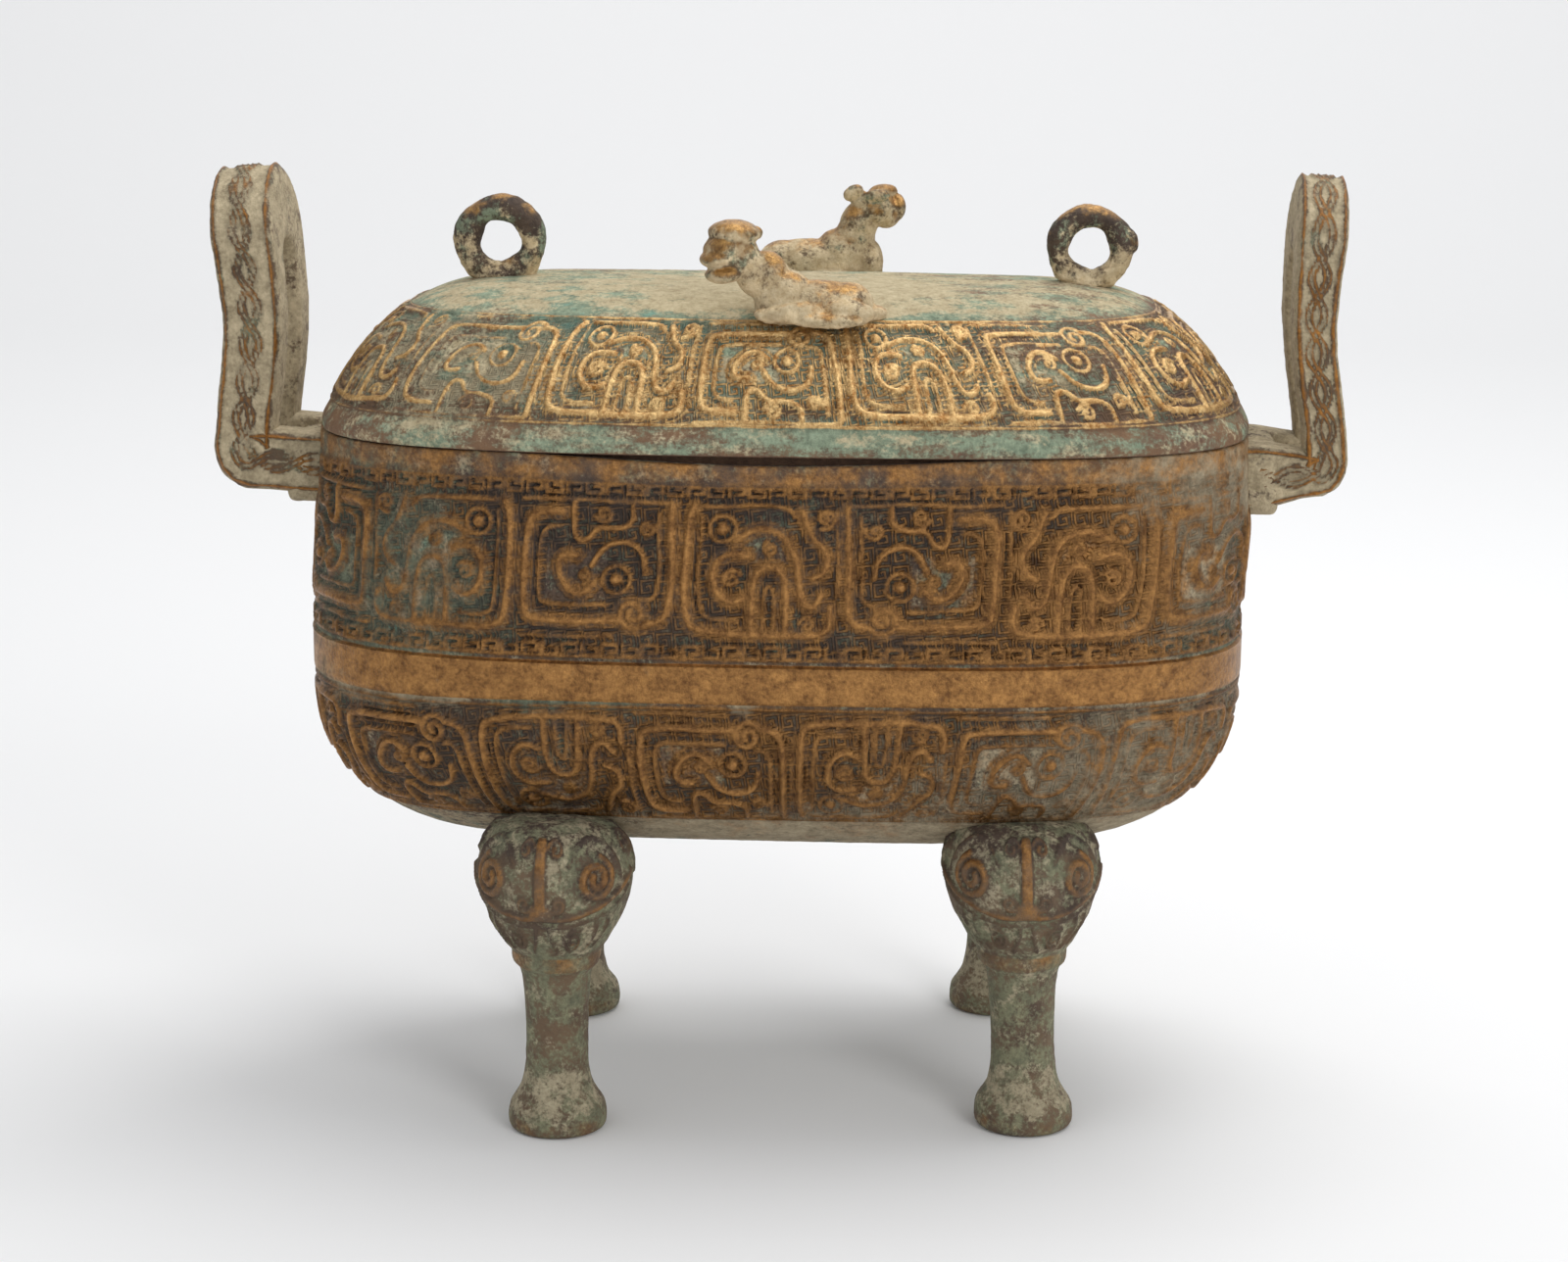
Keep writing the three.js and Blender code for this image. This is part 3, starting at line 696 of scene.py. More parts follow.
def profile_normal(radius: Array, height: Array) -> Array:
    """Outward normal of a profile that climbs its outside: its tangent turned right."""
    tangent = np.stack([np.gradient(radius), np.gradient(height)], -1)
    tangent /= np.maximum(np.linalg.norm(tangent, axis=-1, keepdims=True), 1e-9)
    return np.stack([tangent[:, 1], -tangent[:, 0]], -1)


def profile_length(radius: Array, height: Array) -> Array:
    """Distance travelled along a profile, starting at 0."""
    step = np.hypot(np.diff(radius), np.diff(height))
    return np.concatenate([[0.0], np.cumsum(step)])


# Finishes


def linear(hex_colour: str) -> tuple[float, float, float, float]:
    """Turns an sRGB hex colour such as #B8741F to a linear one with full alpha."""
    channels = [int(hex_colour[i : i + 2], 16) / 255.0 for i in (1, 3, 5)]
    flat = [c / 12.92 if c <= 0.04045 else ((c + 0.055) / 1.055) ** 2.4 for c in channels]
    return (*flat, 1.0)


@dataclass(frozen=True)
class Layer:
    """One coat over the metal, its lumps about size millimetres. It shows where gain times
    its field, plus relief_gain times the ornament's height, plus noise, passes the threshold."""

    carried: Carried
    low_colour: str
    high_colour: str
    size: float
    threshold: float
    softness: float
    gain: float
    relief_gain: float = 0.0
    speckle: float = 0.12
    metallic: float = 0.0
    roughness: float = 0.85
    stretch: tuple[float, float, float] = (1.0, 1.0, 1.0)


# Purple brown skin in broad clouds, matt; the same coat also paints shade inside the pot and the lid and
# where the legs meet the belly.
DARK_SKIN_AND_PAINTED_SHADE = Layer(Carried.DARK, "#40332B", "#5E4D40", 16.0, 1.02, 0.3, 1.0)
# Grey green corrosion, matt and speckled at its edges.
GREEN_RUST = Layer(
    Carried.GREEN, "#474B3F", "#7A8069", 12.0, 1.08, 0.2, 1.0, -0.2, speckle=0.34, roughness=0.9
)
# Blue green corrosion in small bright spots.
TURQUOISE_RUST = Layer(
    Carried.GREEN, "#4F7465", "#7DA08D", 5.0, 1.44, 0.14, 1.0, -0.1, speckle=0.34, roughness=0.88
)
# Dry tan earth that clings in pale specks and takes away every glint.
EARTH_CRUST = Layer(
    Carried.CRUST, "#7B6E56", "#B0A185", 8.0, 1.14, 0.2, 1.0, -0.15, speckle=0.4, roughness=0.95
)
# Rubbed brown gold with a broad soft glint.
BROWN_GILT = Layer(
    Carried.GILT, "#6B4827", "#B5844B", 10.0, 1.2, 0.4, 1.0, 0.56, metallic=0.75, roughness=0.36
)
# Bright gold with a sharper glint, left where the ornament stands proud.
BRIGHT_GILT = Layer(
    Carried.GILT, "#96642E", "#F2CD8E", 9.0, 1.56, 0.26, 1.0, 0.95, metallic=0.8, roughness=0.3
)


@dataclass(frozen=True)
class GildedBronze:
    """Cast bronze, fire-gilt and long buried: brown metal under green and earthy crusts that
    scatter light softly, with worn gold left on what stands proud, which glints."""

    name: str
    brown_low: str = "#47382B"
    brown_high: str = "#765B41"
    layers: tuple[Layer, ...] = (DARK_SKIN_AND_PAINTED_SHADE, GREEN_RUST, TURQUOISE_RUST, EARTH_CRUST, BROWN_GILT)
    mottle: float = 9.0
    fine: float = 1.5
    grain: float = 0.6
    grain_height: float = 0.3
    fret_cell: float = 6.4
    fret_turns: float = 1.5
    fret_height: float = 0.8
    dot_cell: float = 3.0
    dot_height: float = 0.7
    # How strongly painted shade darkens the recesses and the flanks of the ridges.
    painted_recess_shade: float = 0.66
    bare_metallic: float = 0.25
    bare_roughness: float = 0.62


# Brown bronze with rubbed gold on the ridges, painted shade in the grooves, green and earthy at the ends.
POT_FINISH = GildedBronze("fire_gilt_bronze_pot")
# Streaky green and tan on top, with bright gold lines on a green ground below that painted shade dims.
LID_FINISH = GildedBronze(
    "fire_gilt_bronze_lid",
    brown_low="#5E4735",
    brown_high="#93704F",
    layers=(
        replace(DARK_SKIN_AND_PAINTED_SHADE, low_colour="#5A4436", high_colour="#7C5F48", threshold=1.1),
        replace(GREEN_RUST, low_colour="#66735F", high_colour="#9AA88D", stretch=(3.0, 1.0, 1.0)),
        replace(TURQUOISE_RUST, threshold=1.36, stretch=(2.6, 1.0, 1.0)),
        replace(EARTH_CRUST, low_colour="#A0906F", high_colour="#C6B896", stretch=(2.0, 1.0, 1.0)),
        BRIGHT_GILT,
    ),
    fret_cell=5.6,
    painted_recess_shade=0.5,
)
# Matt green and earth, with brown gold on noses, eyes and collars.
LEG_FINISH = GildedBronze(
    "fire_gilt_bronze_legs",
    brown_low="#544434",
    brown_high="#826A50",
    layers=(
        DARK_SKIN_AND_PAINTED_SHADE,
        replace(GREEN_RUST, low_colour="#5B5C49", high_colour="#878669"),
        replace(TURQUOISE_RUST, threshold=1.5),
        replace(EARTH_CRUST, low_colour="#857A62", high_colour="#B0A58A"),
        replace(BROWN_GILT, low_colour="#6C4A2A", high_colour="#A37744", threshold=1.46),
    ),
)
# Pale rough earth, with brown gold on edges and wavy lines.
HANDLE_FINISH = GildedBronze(
    "buried_bronze_handles",
    brown_low="#584737",
    brown_high="#80694F",
    layers=(
        DARK_SKIN_AND_PAINTED_SHADE,
        replace(GREEN_RUST, low_colour="#666A55", high_colour="#8F947A"),
        replace(TURQUOISE_RUST, threshold=1.36),
        replace(EARTH_CRUST, low_colour="#94866B", high_colour="#C8B898", threshold=1.1),
        replace(BROWN_GILT, low_colour="#7C5124", high_colour="#B27B3B", threshold=1.4),
    ),
    grain_height=0.4,
)
# Pale earth on worn bronze, with gold where hands and weather rubbed it.
FITTING_FINISH = GildedBronze(
    "fire_gilt_bronze_fittings",
    brown_low="#54432F",
    brown_high="#80684A",
    layers=(
        DARK_SKIN_AND_PAINTED_SHADE,
        replace(GREEN_RUST, low_colour="#65705C", high_colour="#8E9A80"),
        replace(TURQUOISE_RUST, threshold=1.42),
        replace(EARTH_CRUST, low_colour="#BCA47C", high_colour="#E6D2AC"),
        replace(BRIGHT_GILT, low_colour="#7E5A34", high_colour="#C69A5C", threshold=1.5, relief_gain=0.5),
    ),
)


def add_node(
    tree: bpy.types.NodeTree, kind: str, inputs: dict[str | int, object] | None = None, **settings: object
) -> bpy.types.Node:
    """Adds a node with its settings, and its inputs as values or as links.

    Args:
        tree: the tree to add to.
        kind: Blender's name of the node type.
        inputs: socket name or number to a value, or to the output socket that feeds it.
        **settings: properties of the node.

    Returns:
        The new node.
    """
    node = tree.nodes.new(kind)
    for key, value in settings.items():
        setattr(node, key, value)
    for key, value in (inputs or {}).items():
        if isinstance(value, bpy.types.NodeSocket):
            tree.links.new(value, node.inputs[key])
        else:
            node.inputs[key].default_value = value
    return node


class BronzeMaterial:
    """Builds a material from a GildedBronze finish."""

    def __init__(self, finish: GildedBronze) -> None:
        """Starts an empty node tree for the finish."""
        self.finish = finish
        self.material = bpy.data.materials.new(finish.name)
        self.material.use_nodes = True
        self.tree = self.material.node_tree
        self.tree.nodes.clear()
        self.place = add_node(self.tree, "ShaderNodeTexCoord").outputs["Object"]
        self.carried = {
            kind: add_node(self.tree, "ShaderNodeAttribute", attribute_name=kind.value).outputs["Fac"]
            for kind in Carried
        }

    def noise(
        self, size: float, detail: float, stretch: tuple[float, float, float]
    ) -> bpy.types.NodeSocket:
        """Noise whose lumps are about size millimetres, drawn out along an axis by stretch."""
        scaled = add_node(
            self.tree,
            "ShaderNodeMapping",
            {"Vector": self.place, "Scale": tuple(1.0 / s for s in stretch)},
        )
        return add_node(
            self.tree,
            "ShaderNodeTexNoise",
            {"Vector": scaled.outputs[0], "Scale": 1.0 / (size * MM), "Detail": detail, "Roughness": 0.68},
        ).outputs["Fac"]

    def cells(self, size: float) -> bpy.types.NodeSocket:
        """The surface cut into square cells of a size in millimetres: the place in its cell,
        from 0 to 1 both ways."""
        surface = add_node(self.tree, "ShaderNodeTexCoord").outputs["UV"]
        scaled = add_node(
            self.tree, "ShaderNodeVectorMath", {0: surface, "Scale": 1.0 / (size * MM)}, operation="SCALE"
        )
        return add_node(
            self.tree, "ShaderNodeVectorMath", {0: scaled.outputs[0]}, operation="FRACTION"
        ).outputs[0]

    def square_spiral(self) -> bpy.types.NodeSocket:
        """Fine square spirals of the ground. In each cell the larger of |x| and |y|, times
        the turns, plus the angle as a share of a turn, gives a spiral whose arms are lines."""
        tree, finish = self.tree, self.finish
        inside = self.cells(finish.fret_cell)
        centred = add_node(
            tree, "ShaderNodeVectorMath", {0: inside, 1: (0.5, 0.5, 0.0)}, operation="SUBTRACT"
        )
        parts = add_node(tree, "ShaderNodeSeparateXYZ", {0: centred.outputs[0]})
        across, up = parts.outputs[0], parts.outputs[1]
        flat = add_node(tree, "ShaderNodeMath", {0: across}, operation="ABSOLUTE")
        tall = add_node(tree, "ShaderNodeMath", {0: up}, operation="ABSOLUTE")
        reach = add_node(
            tree, "ShaderNodeMath", {0: flat.outputs[0], 1: tall.outputs[0]}, operation="MAXIMUM"
        )
        angle = add_node(tree, "ShaderNodeMath", {0: up, 1: across}, operation="ARCTAN2")
        turn = add_node(
            tree, "ShaderNodeMath", {0: angle.outputs[0], 1: 0.5 / math.pi}, operation="MULTIPLY"
        )
        arms = add_node(
            tree,
            "ShaderNodeMath",
            {0: reach.outputs[0], 1: 2.0 * finish.fret_turns, 2: turn.outputs[0]},
            operation="MULTIPLY_ADD",
        )
        wave = add_node(tree, "ShaderNodeMath", {0: arms.outputs[0], 1: 0.5}, operation="PINGPONG")
        line = add_node(
            tree,
            "ShaderNodeMapRange",
            {"Value": wave.outputs[0], "From Min": 0.18, "From Max": 0.36},
            interpolation_type="SMOOTHSTEP",
        )
        return add_node(
            tree,
            "ShaderNodeMath",
            {0: line.outputs[0], 1: self.carried[Carried.FRET]},
            operation="MULTIPLY",
        ).outputs[0]

    def grains(self) -> bpy.types.NodeSocket:
        """Rows of small round grains: 1 at each cell's centre, falling off to its edge."""
        tree = self.tree
        inside = self.cells(self.finish.dot_cell)
        gap = add_node(
            tree, "ShaderNodeVectorMath", {0: inside, 1: (0.5, 0.5, 0.0)}, operation="DISTANCE"
        )
        dot = add_node(
            tree,
            "ShaderNodeMapRange",
            {"Value": gap.outputs["Value"], "From Min": 0.44, "From Max": 0.16},
            interpolation_type="SMOOTHSTEP",
        )
        return add_node(
            tree,
            "ShaderNodeMath",
            {0: dot.outputs[0], 1: self.carried[Carried.DOTS]},
            operation="MULTIPLY",
        ).outputs[0]

    def build(self) -> bpy.types.Material:
        """Lays the coats over the brown metal in order, paints shade into the recesses, and adds
        the fine ornament and the grain as bump.

        Returns:
            The material.
        """
        tree, finish = self.tree, self.finish
        relief = self.carried[Carried.RELIEF]
        even = (1.0, 1.0, 1.0)
        fine = self.noise(finish.fine, 3.0, even)
        tint = add_node(
            tree, "ShaderNodeMix", {"Factor": 0.45, 2: self.noise(finish.mottle * 0.6, 3.0, even), 3: fine}
        ).outputs[0]
        spiral, dots = self.square_spiral(), self.grains()
        mixed = add_node(
            tree, "ShaderNodeMix", {"Factor": self.noise(finish.mottle, 4.0, even)}, data_type="RGBA"
        )
        mixed.inputs[6].default_value = linear(finish.brown_low)
        mixed.inputs[7].default_value = linear(finish.brown_high)
        colour = mixed.outputs[2]
        metallic, rough = finish.bare_metallic, finish.bare_roughness
        proud = add_node(
            tree, "ShaderNodeMath", {0: spiral, 1: 0.35, 2: relief}, operation="MULTIPLY_ADD"
        ).outputs[0]
        for layer in finish.layers:
            mask = self.mask(layer, proud, fine)
            spread = add_node(
                tree, "ShaderNodeMapRange", {"Value": tint, "From Min": 0.36, "From Max": 0.64}
            )
            coat = add_node(tree, "ShaderNodeMix", {"Factor": spread.outputs[0]}, data_type="RGBA")
            coat.inputs[6].default_value = linear(layer.low_colour)
            coat.inputs[7].default_value = linear(layer.high_colour)
            colour = add_node(
                tree, "ShaderNodeMix", {"Factor": mask, 6: colour, 7: coat.outputs[2]}, data_type="RGBA"
            ).outputs[2]
            metallic = add_node(
                tree, "ShaderNodeMix", {"Factor": mask, 2: metallic, 3: layer.metallic}
            ).outputs[0]
            rough = add_node(
                tree, "ShaderNodeMix", {"Factor": mask, 2: rough, 3: layer.roughness}
            ).outputs[0]
        shader = add_node(
            tree,
            "ShaderNodeBsdfPrincipled",
            {
                "Base Color": self.shaded(colour, proud, relief),
                "Metallic": metallic,
                "Roughness": rough,
                "Normal": self.bump(spiral, dots, fine),
            },
        )
        add_node(tree, "ShaderNodeOutputMaterial", {"Surface": shader.outputs[0]})
        return self.material

    def mask(
        self, layer: Layer, proud: bpy.types.NodeSocket, fine: bpy.types.NodeSocket
    ) -> bpy.types.NodeSocket:
        """Where a coat shows, from 0 to 1.

        Args:
            layer: the coat.
            proud: height of the ornament, the fine spirals included.
            fine: small noise that speckles the coat's edge.

        Returns:
            The share of the coat.
        """
        tree = self.tree
        lumps = self.noise(layer.size, 5.0, layer.stretch)
        fed = add_node(
            tree,
            "ShaderNodeMath",
            {0: self.carried[layer.carried], 1: layer.gain, 2: lumps},
            operation="MULTIPLY_ADD",
        )
        lifted = add_node(
            tree,
            "ShaderNodeMath",
            {0: proud, 1: layer.relief_gain, 2: fed.outputs[0]},
            operation="MULTIPLY_ADD",
        )
        speckled = add_node(
            tree,
            "ShaderNodeMath",
            {0: fine, 1: layer.speckle, 2: lifted.outputs[0]},
            operation="MULTIPLY_ADD",
        )
        return add_node(
            tree,
            "ShaderNodeMapRange",
            {
                "Value": speckled.outputs[0],
                "From Min": layer.threshold + 0.5 * (layer.speckle - layer.softness),
                "From Max": layer.threshold + 0.5 * (layer.speckle + layer.softness),
            },
            interpolation_type="SMOOTHSTEP",
        ).outputs[0]

    def shaded(
        self, colour: bpy.types.NodeSocket, proud: bpy.types.NodeSocket, relief: bpy.types.NodeSocket
    ) -> bpy.types.NodeSocket:
        """The colour with painted shade: the deeper a place lies beside the ornament, the darker it
        is painted, down the flanks of the ridges as well."""
        tree = self.tree
        depth = add_node(tree, "ShaderNodeMapRange", {"Value": proud, "From Min": 0.0, "From Max": 0.9})
        sunk = add_node(tree, "ShaderNodeMath", {0: 1.0, 1: depth.outputs[0]}, operation="SUBTRACT")
        worked = add_node(
            tree,
            "ShaderNodeMath",
            {0: relief, 1: 1.6, 2: self.carried[Carried.FRET]},
            operation="MULTIPLY_ADD",
            use_clamp=True,
        )
        shade = add_node(
            tree, "ShaderNodeMath", {0: sunk.outputs[0], 1: worked.outputs[0]}, operation="MULTIPLY"
        )
        dimmed = add_node(
            tree,
            "ShaderNodeMath",
            {0: shade.outputs[0], 1: -self.finish.painted_recess_shade, 2: 1.0},
            operation="MULTIPLY_ADD",
        )
        return add_node(
            tree, "ShaderNodeVectorMath", {0: colour, "Scale": dimmed.outputs[0]}, operation="SCALE"
        ).outputs[0]

    def bump(
        self, spiral: bpy.types.NodeSocket, dots: bpy.types.NodeSocket, fine: bpy.types.NodeSocket
    ) -> bpy.types.NodeSocket:
        """The fine ornament and the grain of the metal as one bump, heights in metres."""
        finish = self.finish
        height = 0.0
        for source, tall in (
            (spiral, finish.fret_height),
            (dots, finish.dot_height),
            (fine, finish.grain_height * 1.6),
            (self.noise(finish.grain, 3.0, (1.0, 1.0, 1.0)), finish.grain_height),
        ):
            height = add_node(
                self.tree, "ShaderNodeMath", {0: source, 1: tall * MM, 2: height}, operation="MULTIPLY_ADD"
            ).outputs[0]
        return add_node(
            self.tree, "ShaderNodeBump", {"Height": height, "Strength": 1.0, "Distance": 1.0}
        ).outputs[0]


# Pieces


def dress(
    piece: bpy.types.Object, material: bpy.types.Material, slot: Slot, *nodes: str
) -> bpy.types.Object:
    """Gives a finished piece its material, hangs it on the root body, and hides the CAD nodes it replaces.

    Args:
        piece: the object.
        material: its material.
        slot: not used.
        *nodes: the CAD nodes that it replaces.

    Returns:
        The piece.
    """
    piece.data.materials.append(material)
    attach(piece, "root")
    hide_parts(*nodes)
    LOG.info("%s: %d points, for %s", piece.name, len(piece.data.vertices), ", ".join(nodes))
    return piece


@dataclass
class Pot:
    """The vessel, in two closed pieces that meet at the top edge of the gilt band."""

    plan: Plan
    sizes: PotSizes = field(default_factory=PotSizes)
    relief_height: float = 2.3
    relief_sink: float = 0.6
    upper_rows: float = 0.84
    lower_rows: float = 0.9
    upper_patches: tuple[Patch, ...] = (
        Patch(Carried.DARK, -10, 232, 105, 20, 0.28),
        Patch(Carried.GILT, 110, 220, 50, 26, 0.16),
        Patch(Carried.CRUST, 150, 215, 40, 30, 0.12),
        Patch(Carried.DARK, -85, 222, 40, 26, 0.2),
        Patch(Carried.GREEN, -128, 205, 24, 36, 0.4),
        Patch(Carried.CRUST, -126, 208, 18, 30, 0.14),
        Patch(Carried.GREEN, -160, 200, 18, 60, 0.12),
        Patch(Carried.CRUST, 148, 241, 30, 14, 0.85),
        Patch(Carried.CRUST, 140, 215, 24, 40, 0.2),
        Patch(Carried.GREEN, 160, 205, 16, 45, 0.16),
        Patch(Carried.GILT, 70, 205, 95, 26, 0.1),
        Patch(Carried.GILT, 120, 200, 40, 26, 0.08),
    )
    lower_patches: tuple[Patch, ...] = (
        Patch(Carried.CRUST, 40, 112, 190, 14, 0.34),
        Patch(Carried.CRUST, 95, 140, 80, 24, 0.16),
        Patch(Carried.GREEN, 100, 132, 60, 16, 0.12),
        Patch(Carried.CRUST, 140, 145, 50, 30, 0.22),
        Patch(Carried.GREEN, -70, 175, 28, 12, 0.5),
        Patch(Carried.CRUST, -135, 172, 30, 12, 0.5),
        Patch(Carried.CRUST, -5, 173, 8, 7, 0.9),
        Patch(Carried.CRUST, -62, 176, 12, 5, 0.5),
        Patch(Carried.GILT, -10, 145, 60, 26, 0.16),
        Patch(Carried.GILT, 60, 145, 40, 24, 0.06),
        # Painted shade: these two darken the underside of the belly round the tops of the front legs.
        Patch(Carried.DARK, -85, 110, 40, 12, 0.3),
        Patch(Carried.DARK, 80, 110, 40, 12, 0.25),
    )

    def half_depth(self, z: Array) -> Array:
        """Half-depth of the outside: a quarter superellipse up the belly to the widest line,
        then a slow draw-in with the square of the height."""
        sizes = self.sizes
        widest = sizes.belly_z + sizes.belly_curve
        up = np.clip((z - widest) / (sizes.rim_z - widest), 0.0, 1.0)
        down = np.clip((widest - z) / sizes.belly_curve, 0.0, 1.0)
        belly = (1.0 - down**sizes.belly_power) ** (1.0 / sizes.belly_root)
        return self.plan.sizes.half_depth * belly - sizes.rim_inset * up**2

    def underside_z(self, radius: Array) -> Array:
        """Height of the belly's outside at a half-depth: the curve above turned round."""
        sizes = self.sizes
        share = np.clip(radius / self.plan.sizes.half_depth, 0.0, 1.0)
        down = (1.0 - share**sizes.belly_root) ** (1.0 / sizes.belly_power)
        return sizes.belly_z + sizes.belly_curve * (1.0 - down)

    def belly_heights(self, low: float, high: float, step: float) -> Array:
        """Heights on the outside between two heights, a step apart along the curve."""
        z = low + (high - low) * np.linspace(0.0, 1.0, 2001) ** 2
        travelled = profile_length(self.half_depth(z), z)
        count = max(round(travelled[-1] / step), 2)
        return np.interp(np.linspace(0.0, travelled[-1], count + 1), travelled, z)

    def upper_profile(self) -> tuple[Array, Array]:
        """Outside from the seam to the rim, over it, and down the inside to the seam."""
        sizes = self.sizes
        climb = np.arange(sizes.upper_low_z, sizes.rim_strip_z, self.upper_rows)
        outer_z = np.concatenate([[sizes.seam_z, 180.7, 181.3], climb, [248.5, 250.5, 252.5, 254.2]])
        outer_r = self.half_depth(outer_z)
        outer_r[0] += sizes.band_proud
        outer_r[1] -= 0.3
        rim = self.half_depth(np.array(sizes.rim_z))
        lip_r = np.array([rim - 0.7, rim - 2.0, rim - 3.3, rim - sizes.wall])
        lip_z = np.array([255.0, 255.0, 255.0, 254.2])
        inner_z = np.linspace(248.0, sizes.seam_z, 7)
        inner_r = self.half_depth(inner_z) - sizes.wall
        return np.concatenate([outer_r, lip_r, inner_r]), np.concatenate([outer_z, lip_z, inner_z])

    def lower_profile(self) -> tuple[Array, Array]:
        """Outside from the middle of the belly up to the seam, then down the inside."""
        sizes = self.sizes
        under = np.linspace(2.0, float(self.half_depth(np.array(sizes.lower_low_z))) - 1.5, 15)
        belly = self.belly_heights(sizes.lower_low_z, sizes.lower_high_z, self.lower_rows)
        band_z = np.array([166.2, 166.7, 168.0, 171.0, 174.0, 177.0, 179.4, sizes.seam_z])
        band_r = self.half_depth(band_z) + sizes.band_proud * np.array([0.0, 0.8, 1, 1, 1, 1, 1, 1.0])
        outer_r = np.concatenate([under, self.half_depth(belly), band_r])
        outer_z = np.concatenate([self.underside_z(under), belly, band_z])
        inside_z = np.array([sizes.seam_z, 170.0, 155.0, 140.0, 126.0, 116.0, 108.0])
        inside_r = self.half_depth(inside_z) - sizes.wall * np.array([1, 1, 1.02, 1.1, 1.25, 1.4, 1.7])
        floor_r = np.array([58.0, 30.0, 2.0])
        floor_z = self.underside_z(floor_r) + sizes.wall
        return (
            np.concatenate([outer_r, inside_r, floor_r]),
            np.concatenate([outer_z, inside_z, floor_z]),
        )

    def skin(
        self,
        radius: Array,
        height: Array,
        outer_rows: int,
        belt: Belt,
        belt_low: float,
        patches: tuple[Patch, ...],
    ) -> Skin:
        """Carries the profile round the plan and raises the ornament along the profile's
        normal: height times the ornament less a sink, where the belt is.

        Args:
            radius: the profile's half-depths.
            height: the profile's heights.
            outer_rows: how many rows from the first are on the outside.
            belt: the ornament.
            belt_low: height of the belt's foot.
            patches: colour blots.

        Returns:
            The surface.
        """
        plan, sizes = self.plan, self.sizes
        normal = profile_normal(radius, height)
        travelled = profile_length(radius, height)
        foot = np.interp(belt_low, height[:outer_rows], travelled[:outer_rows])
        outside = np.arange(len(radius)) < outer_rows
        grid_along, grid_up = np.meshgrid(plan.along, travelled - foot)
        base = plan.surface(radius, height[:, None])
        raised, dotted, fade = belt.lay(grid_along, grid_up, outside)
        clear_of_handles = smooth_step(np.abs(base[..., 1]), 30.0, 50.0)
        fade = fade * np.maximum(clear_of_handles, smooth_step(base[..., 2], 238.0, 222.0))
        wear = 0.55 + 0.6 * patchy(base, 42.0, 3)
        fields = blank_fields(grid_up.shape)
        add_patches(fields, base, patches)
        crusted = np.clip(fields[Carried.CRUST] + fields[Carried.GREEN] - 1.12, 0.0, 0.6)
        wear = np.clip(wear - 0.8 * crusted, 0.3, 1.1)
        dents = 0.7 * (patchy(base, 75.0, 11, 2) - 0.5)
        rough = (patchy(base, 3.4, 17) - 0.5) * (0.22 + 0.9 * crusted) + 0.35 * crusted
        out = fade * (self.relief_height * wear * raised - self.relief_sink)
        out = out + (dents + rough) * outside[:, None]
        out[[0, -1]] = 0.0
        if outer_rows < len(radius):
            out[height > sizes.rim_z - 0.5] = 0.0
            out[np.abs(height - sizes.seam_z) < 0.05] = 0.0
        spread = radius[:, None] + out * normal[:, :1]
        points = plan.surface(spread, height[:, None] + out * normal[:, 1:])
        self.settle(points)
        fields[Carried.RELIEF] = np.clip(raised * fade * wear, 0.0, 1.0)
        fields[Carried.FRET] = fade * np.clip(1.15 - 1.9 * raised, 0.0, 1.0) * np.clip(wear, 0.3, 1.0)
        fields[Carried.DOTS] = fade * dotted * np.clip(1.0 - 2.0 * raised, 0.0, 1.0)
        fields[Carried.FRET] = fields[Carried.FRET] * (1.0 - fields[Carried.DOTS])
        self.tone(fields, base, outside)
        return Skin(points, fields, plan.closed_along(), np.append(travelled, travelled[-1] + 1.0))

    def settle(self, points: Array) -> None:
        """Bends the wall a little, as the casting is: the rim dips in the middle of the front
        and leans right, the right end widens upward, and the left of the belly hangs.

        Args:
            points: places in millimetres, changed in place.
        """
        sizes = self.sizes
        sag = np.clip(1.0 - (points[..., 0] / sizes.rim_dip_half) ** 2, 0.0, 1.0) ** 2
        sag = sag * smooth_step(points[..., 1], 0.0, -60.0)
        sag = sag * smooth_step(points[..., 2], 236.0, sizes.rim_z)
        points[..., 2] -= sizes.rim_dip * sag
        points[..., 0] += sizes.shift_x + sizes.rim_lean * smooth_step(points[..., 2], 190.0, 236.0)
        hang = smooth_step(-points[..., 0], 60.0, 140.0) * smooth_step(points[..., 2], 186.0, 158.0)
        right_end = smooth_step(points[..., 0], 120.0, 165.0)
        points[..., 0] += right_end * smooth_step(points[..., 2], 186.0, 225.0)
        points[..., 2] -= sizes.belly_hang * hang

    def tone(self, fields: dict[Carried, Array], base: Array, outside: Array) -> None:
        """Gilds the plain band, darkens the inside with painted shade, and greens the foot of the belly.

        Args:
            fields: the carried fields to change.
            base: places before the ornament.
            outside: which rows are on the outside.
        """
        sizes = self.sizes
        z = base[..., 2]
        band = smooth_step(z, sizes.band_low_z - 0.4, sizes.band_low_z + 0.4)
        band = band * smooth_step(z, 181.2, 180.2)
        ends = smooth_step(np.abs(base[..., 0]), 128.0, 168.0)
        left = smooth_step(-base[..., 0], 70.0, 130.0)
        fields[Carried.GILT] = fields[Carried.GILT] + band * (0.95 - 0.5 * ends - 0.2 * left)
        fields[Carried.GREEN] = fields[Carried.GREEN] + 0.12 * smooth_step(z, 124.0, 108.0) + 0.06 * ends
        strip = smooth_step(z, sizes.rim_strip_z, sizes.rim_strip_z + 2.0)
        fields[Carried.GILT] = fields[Carried.GILT] + 0.22 * strip
        # Painted shade: the inside, most of the rim's top with it, is darkened; no gold inside.
        inside = (~outside)[:, None] * 1.0
        fields[Carried.DARK] = fields[Carried.DARK] + 0.4 * inside
        fields[Carried.GILT] = fields[Carried.GILT] - inside

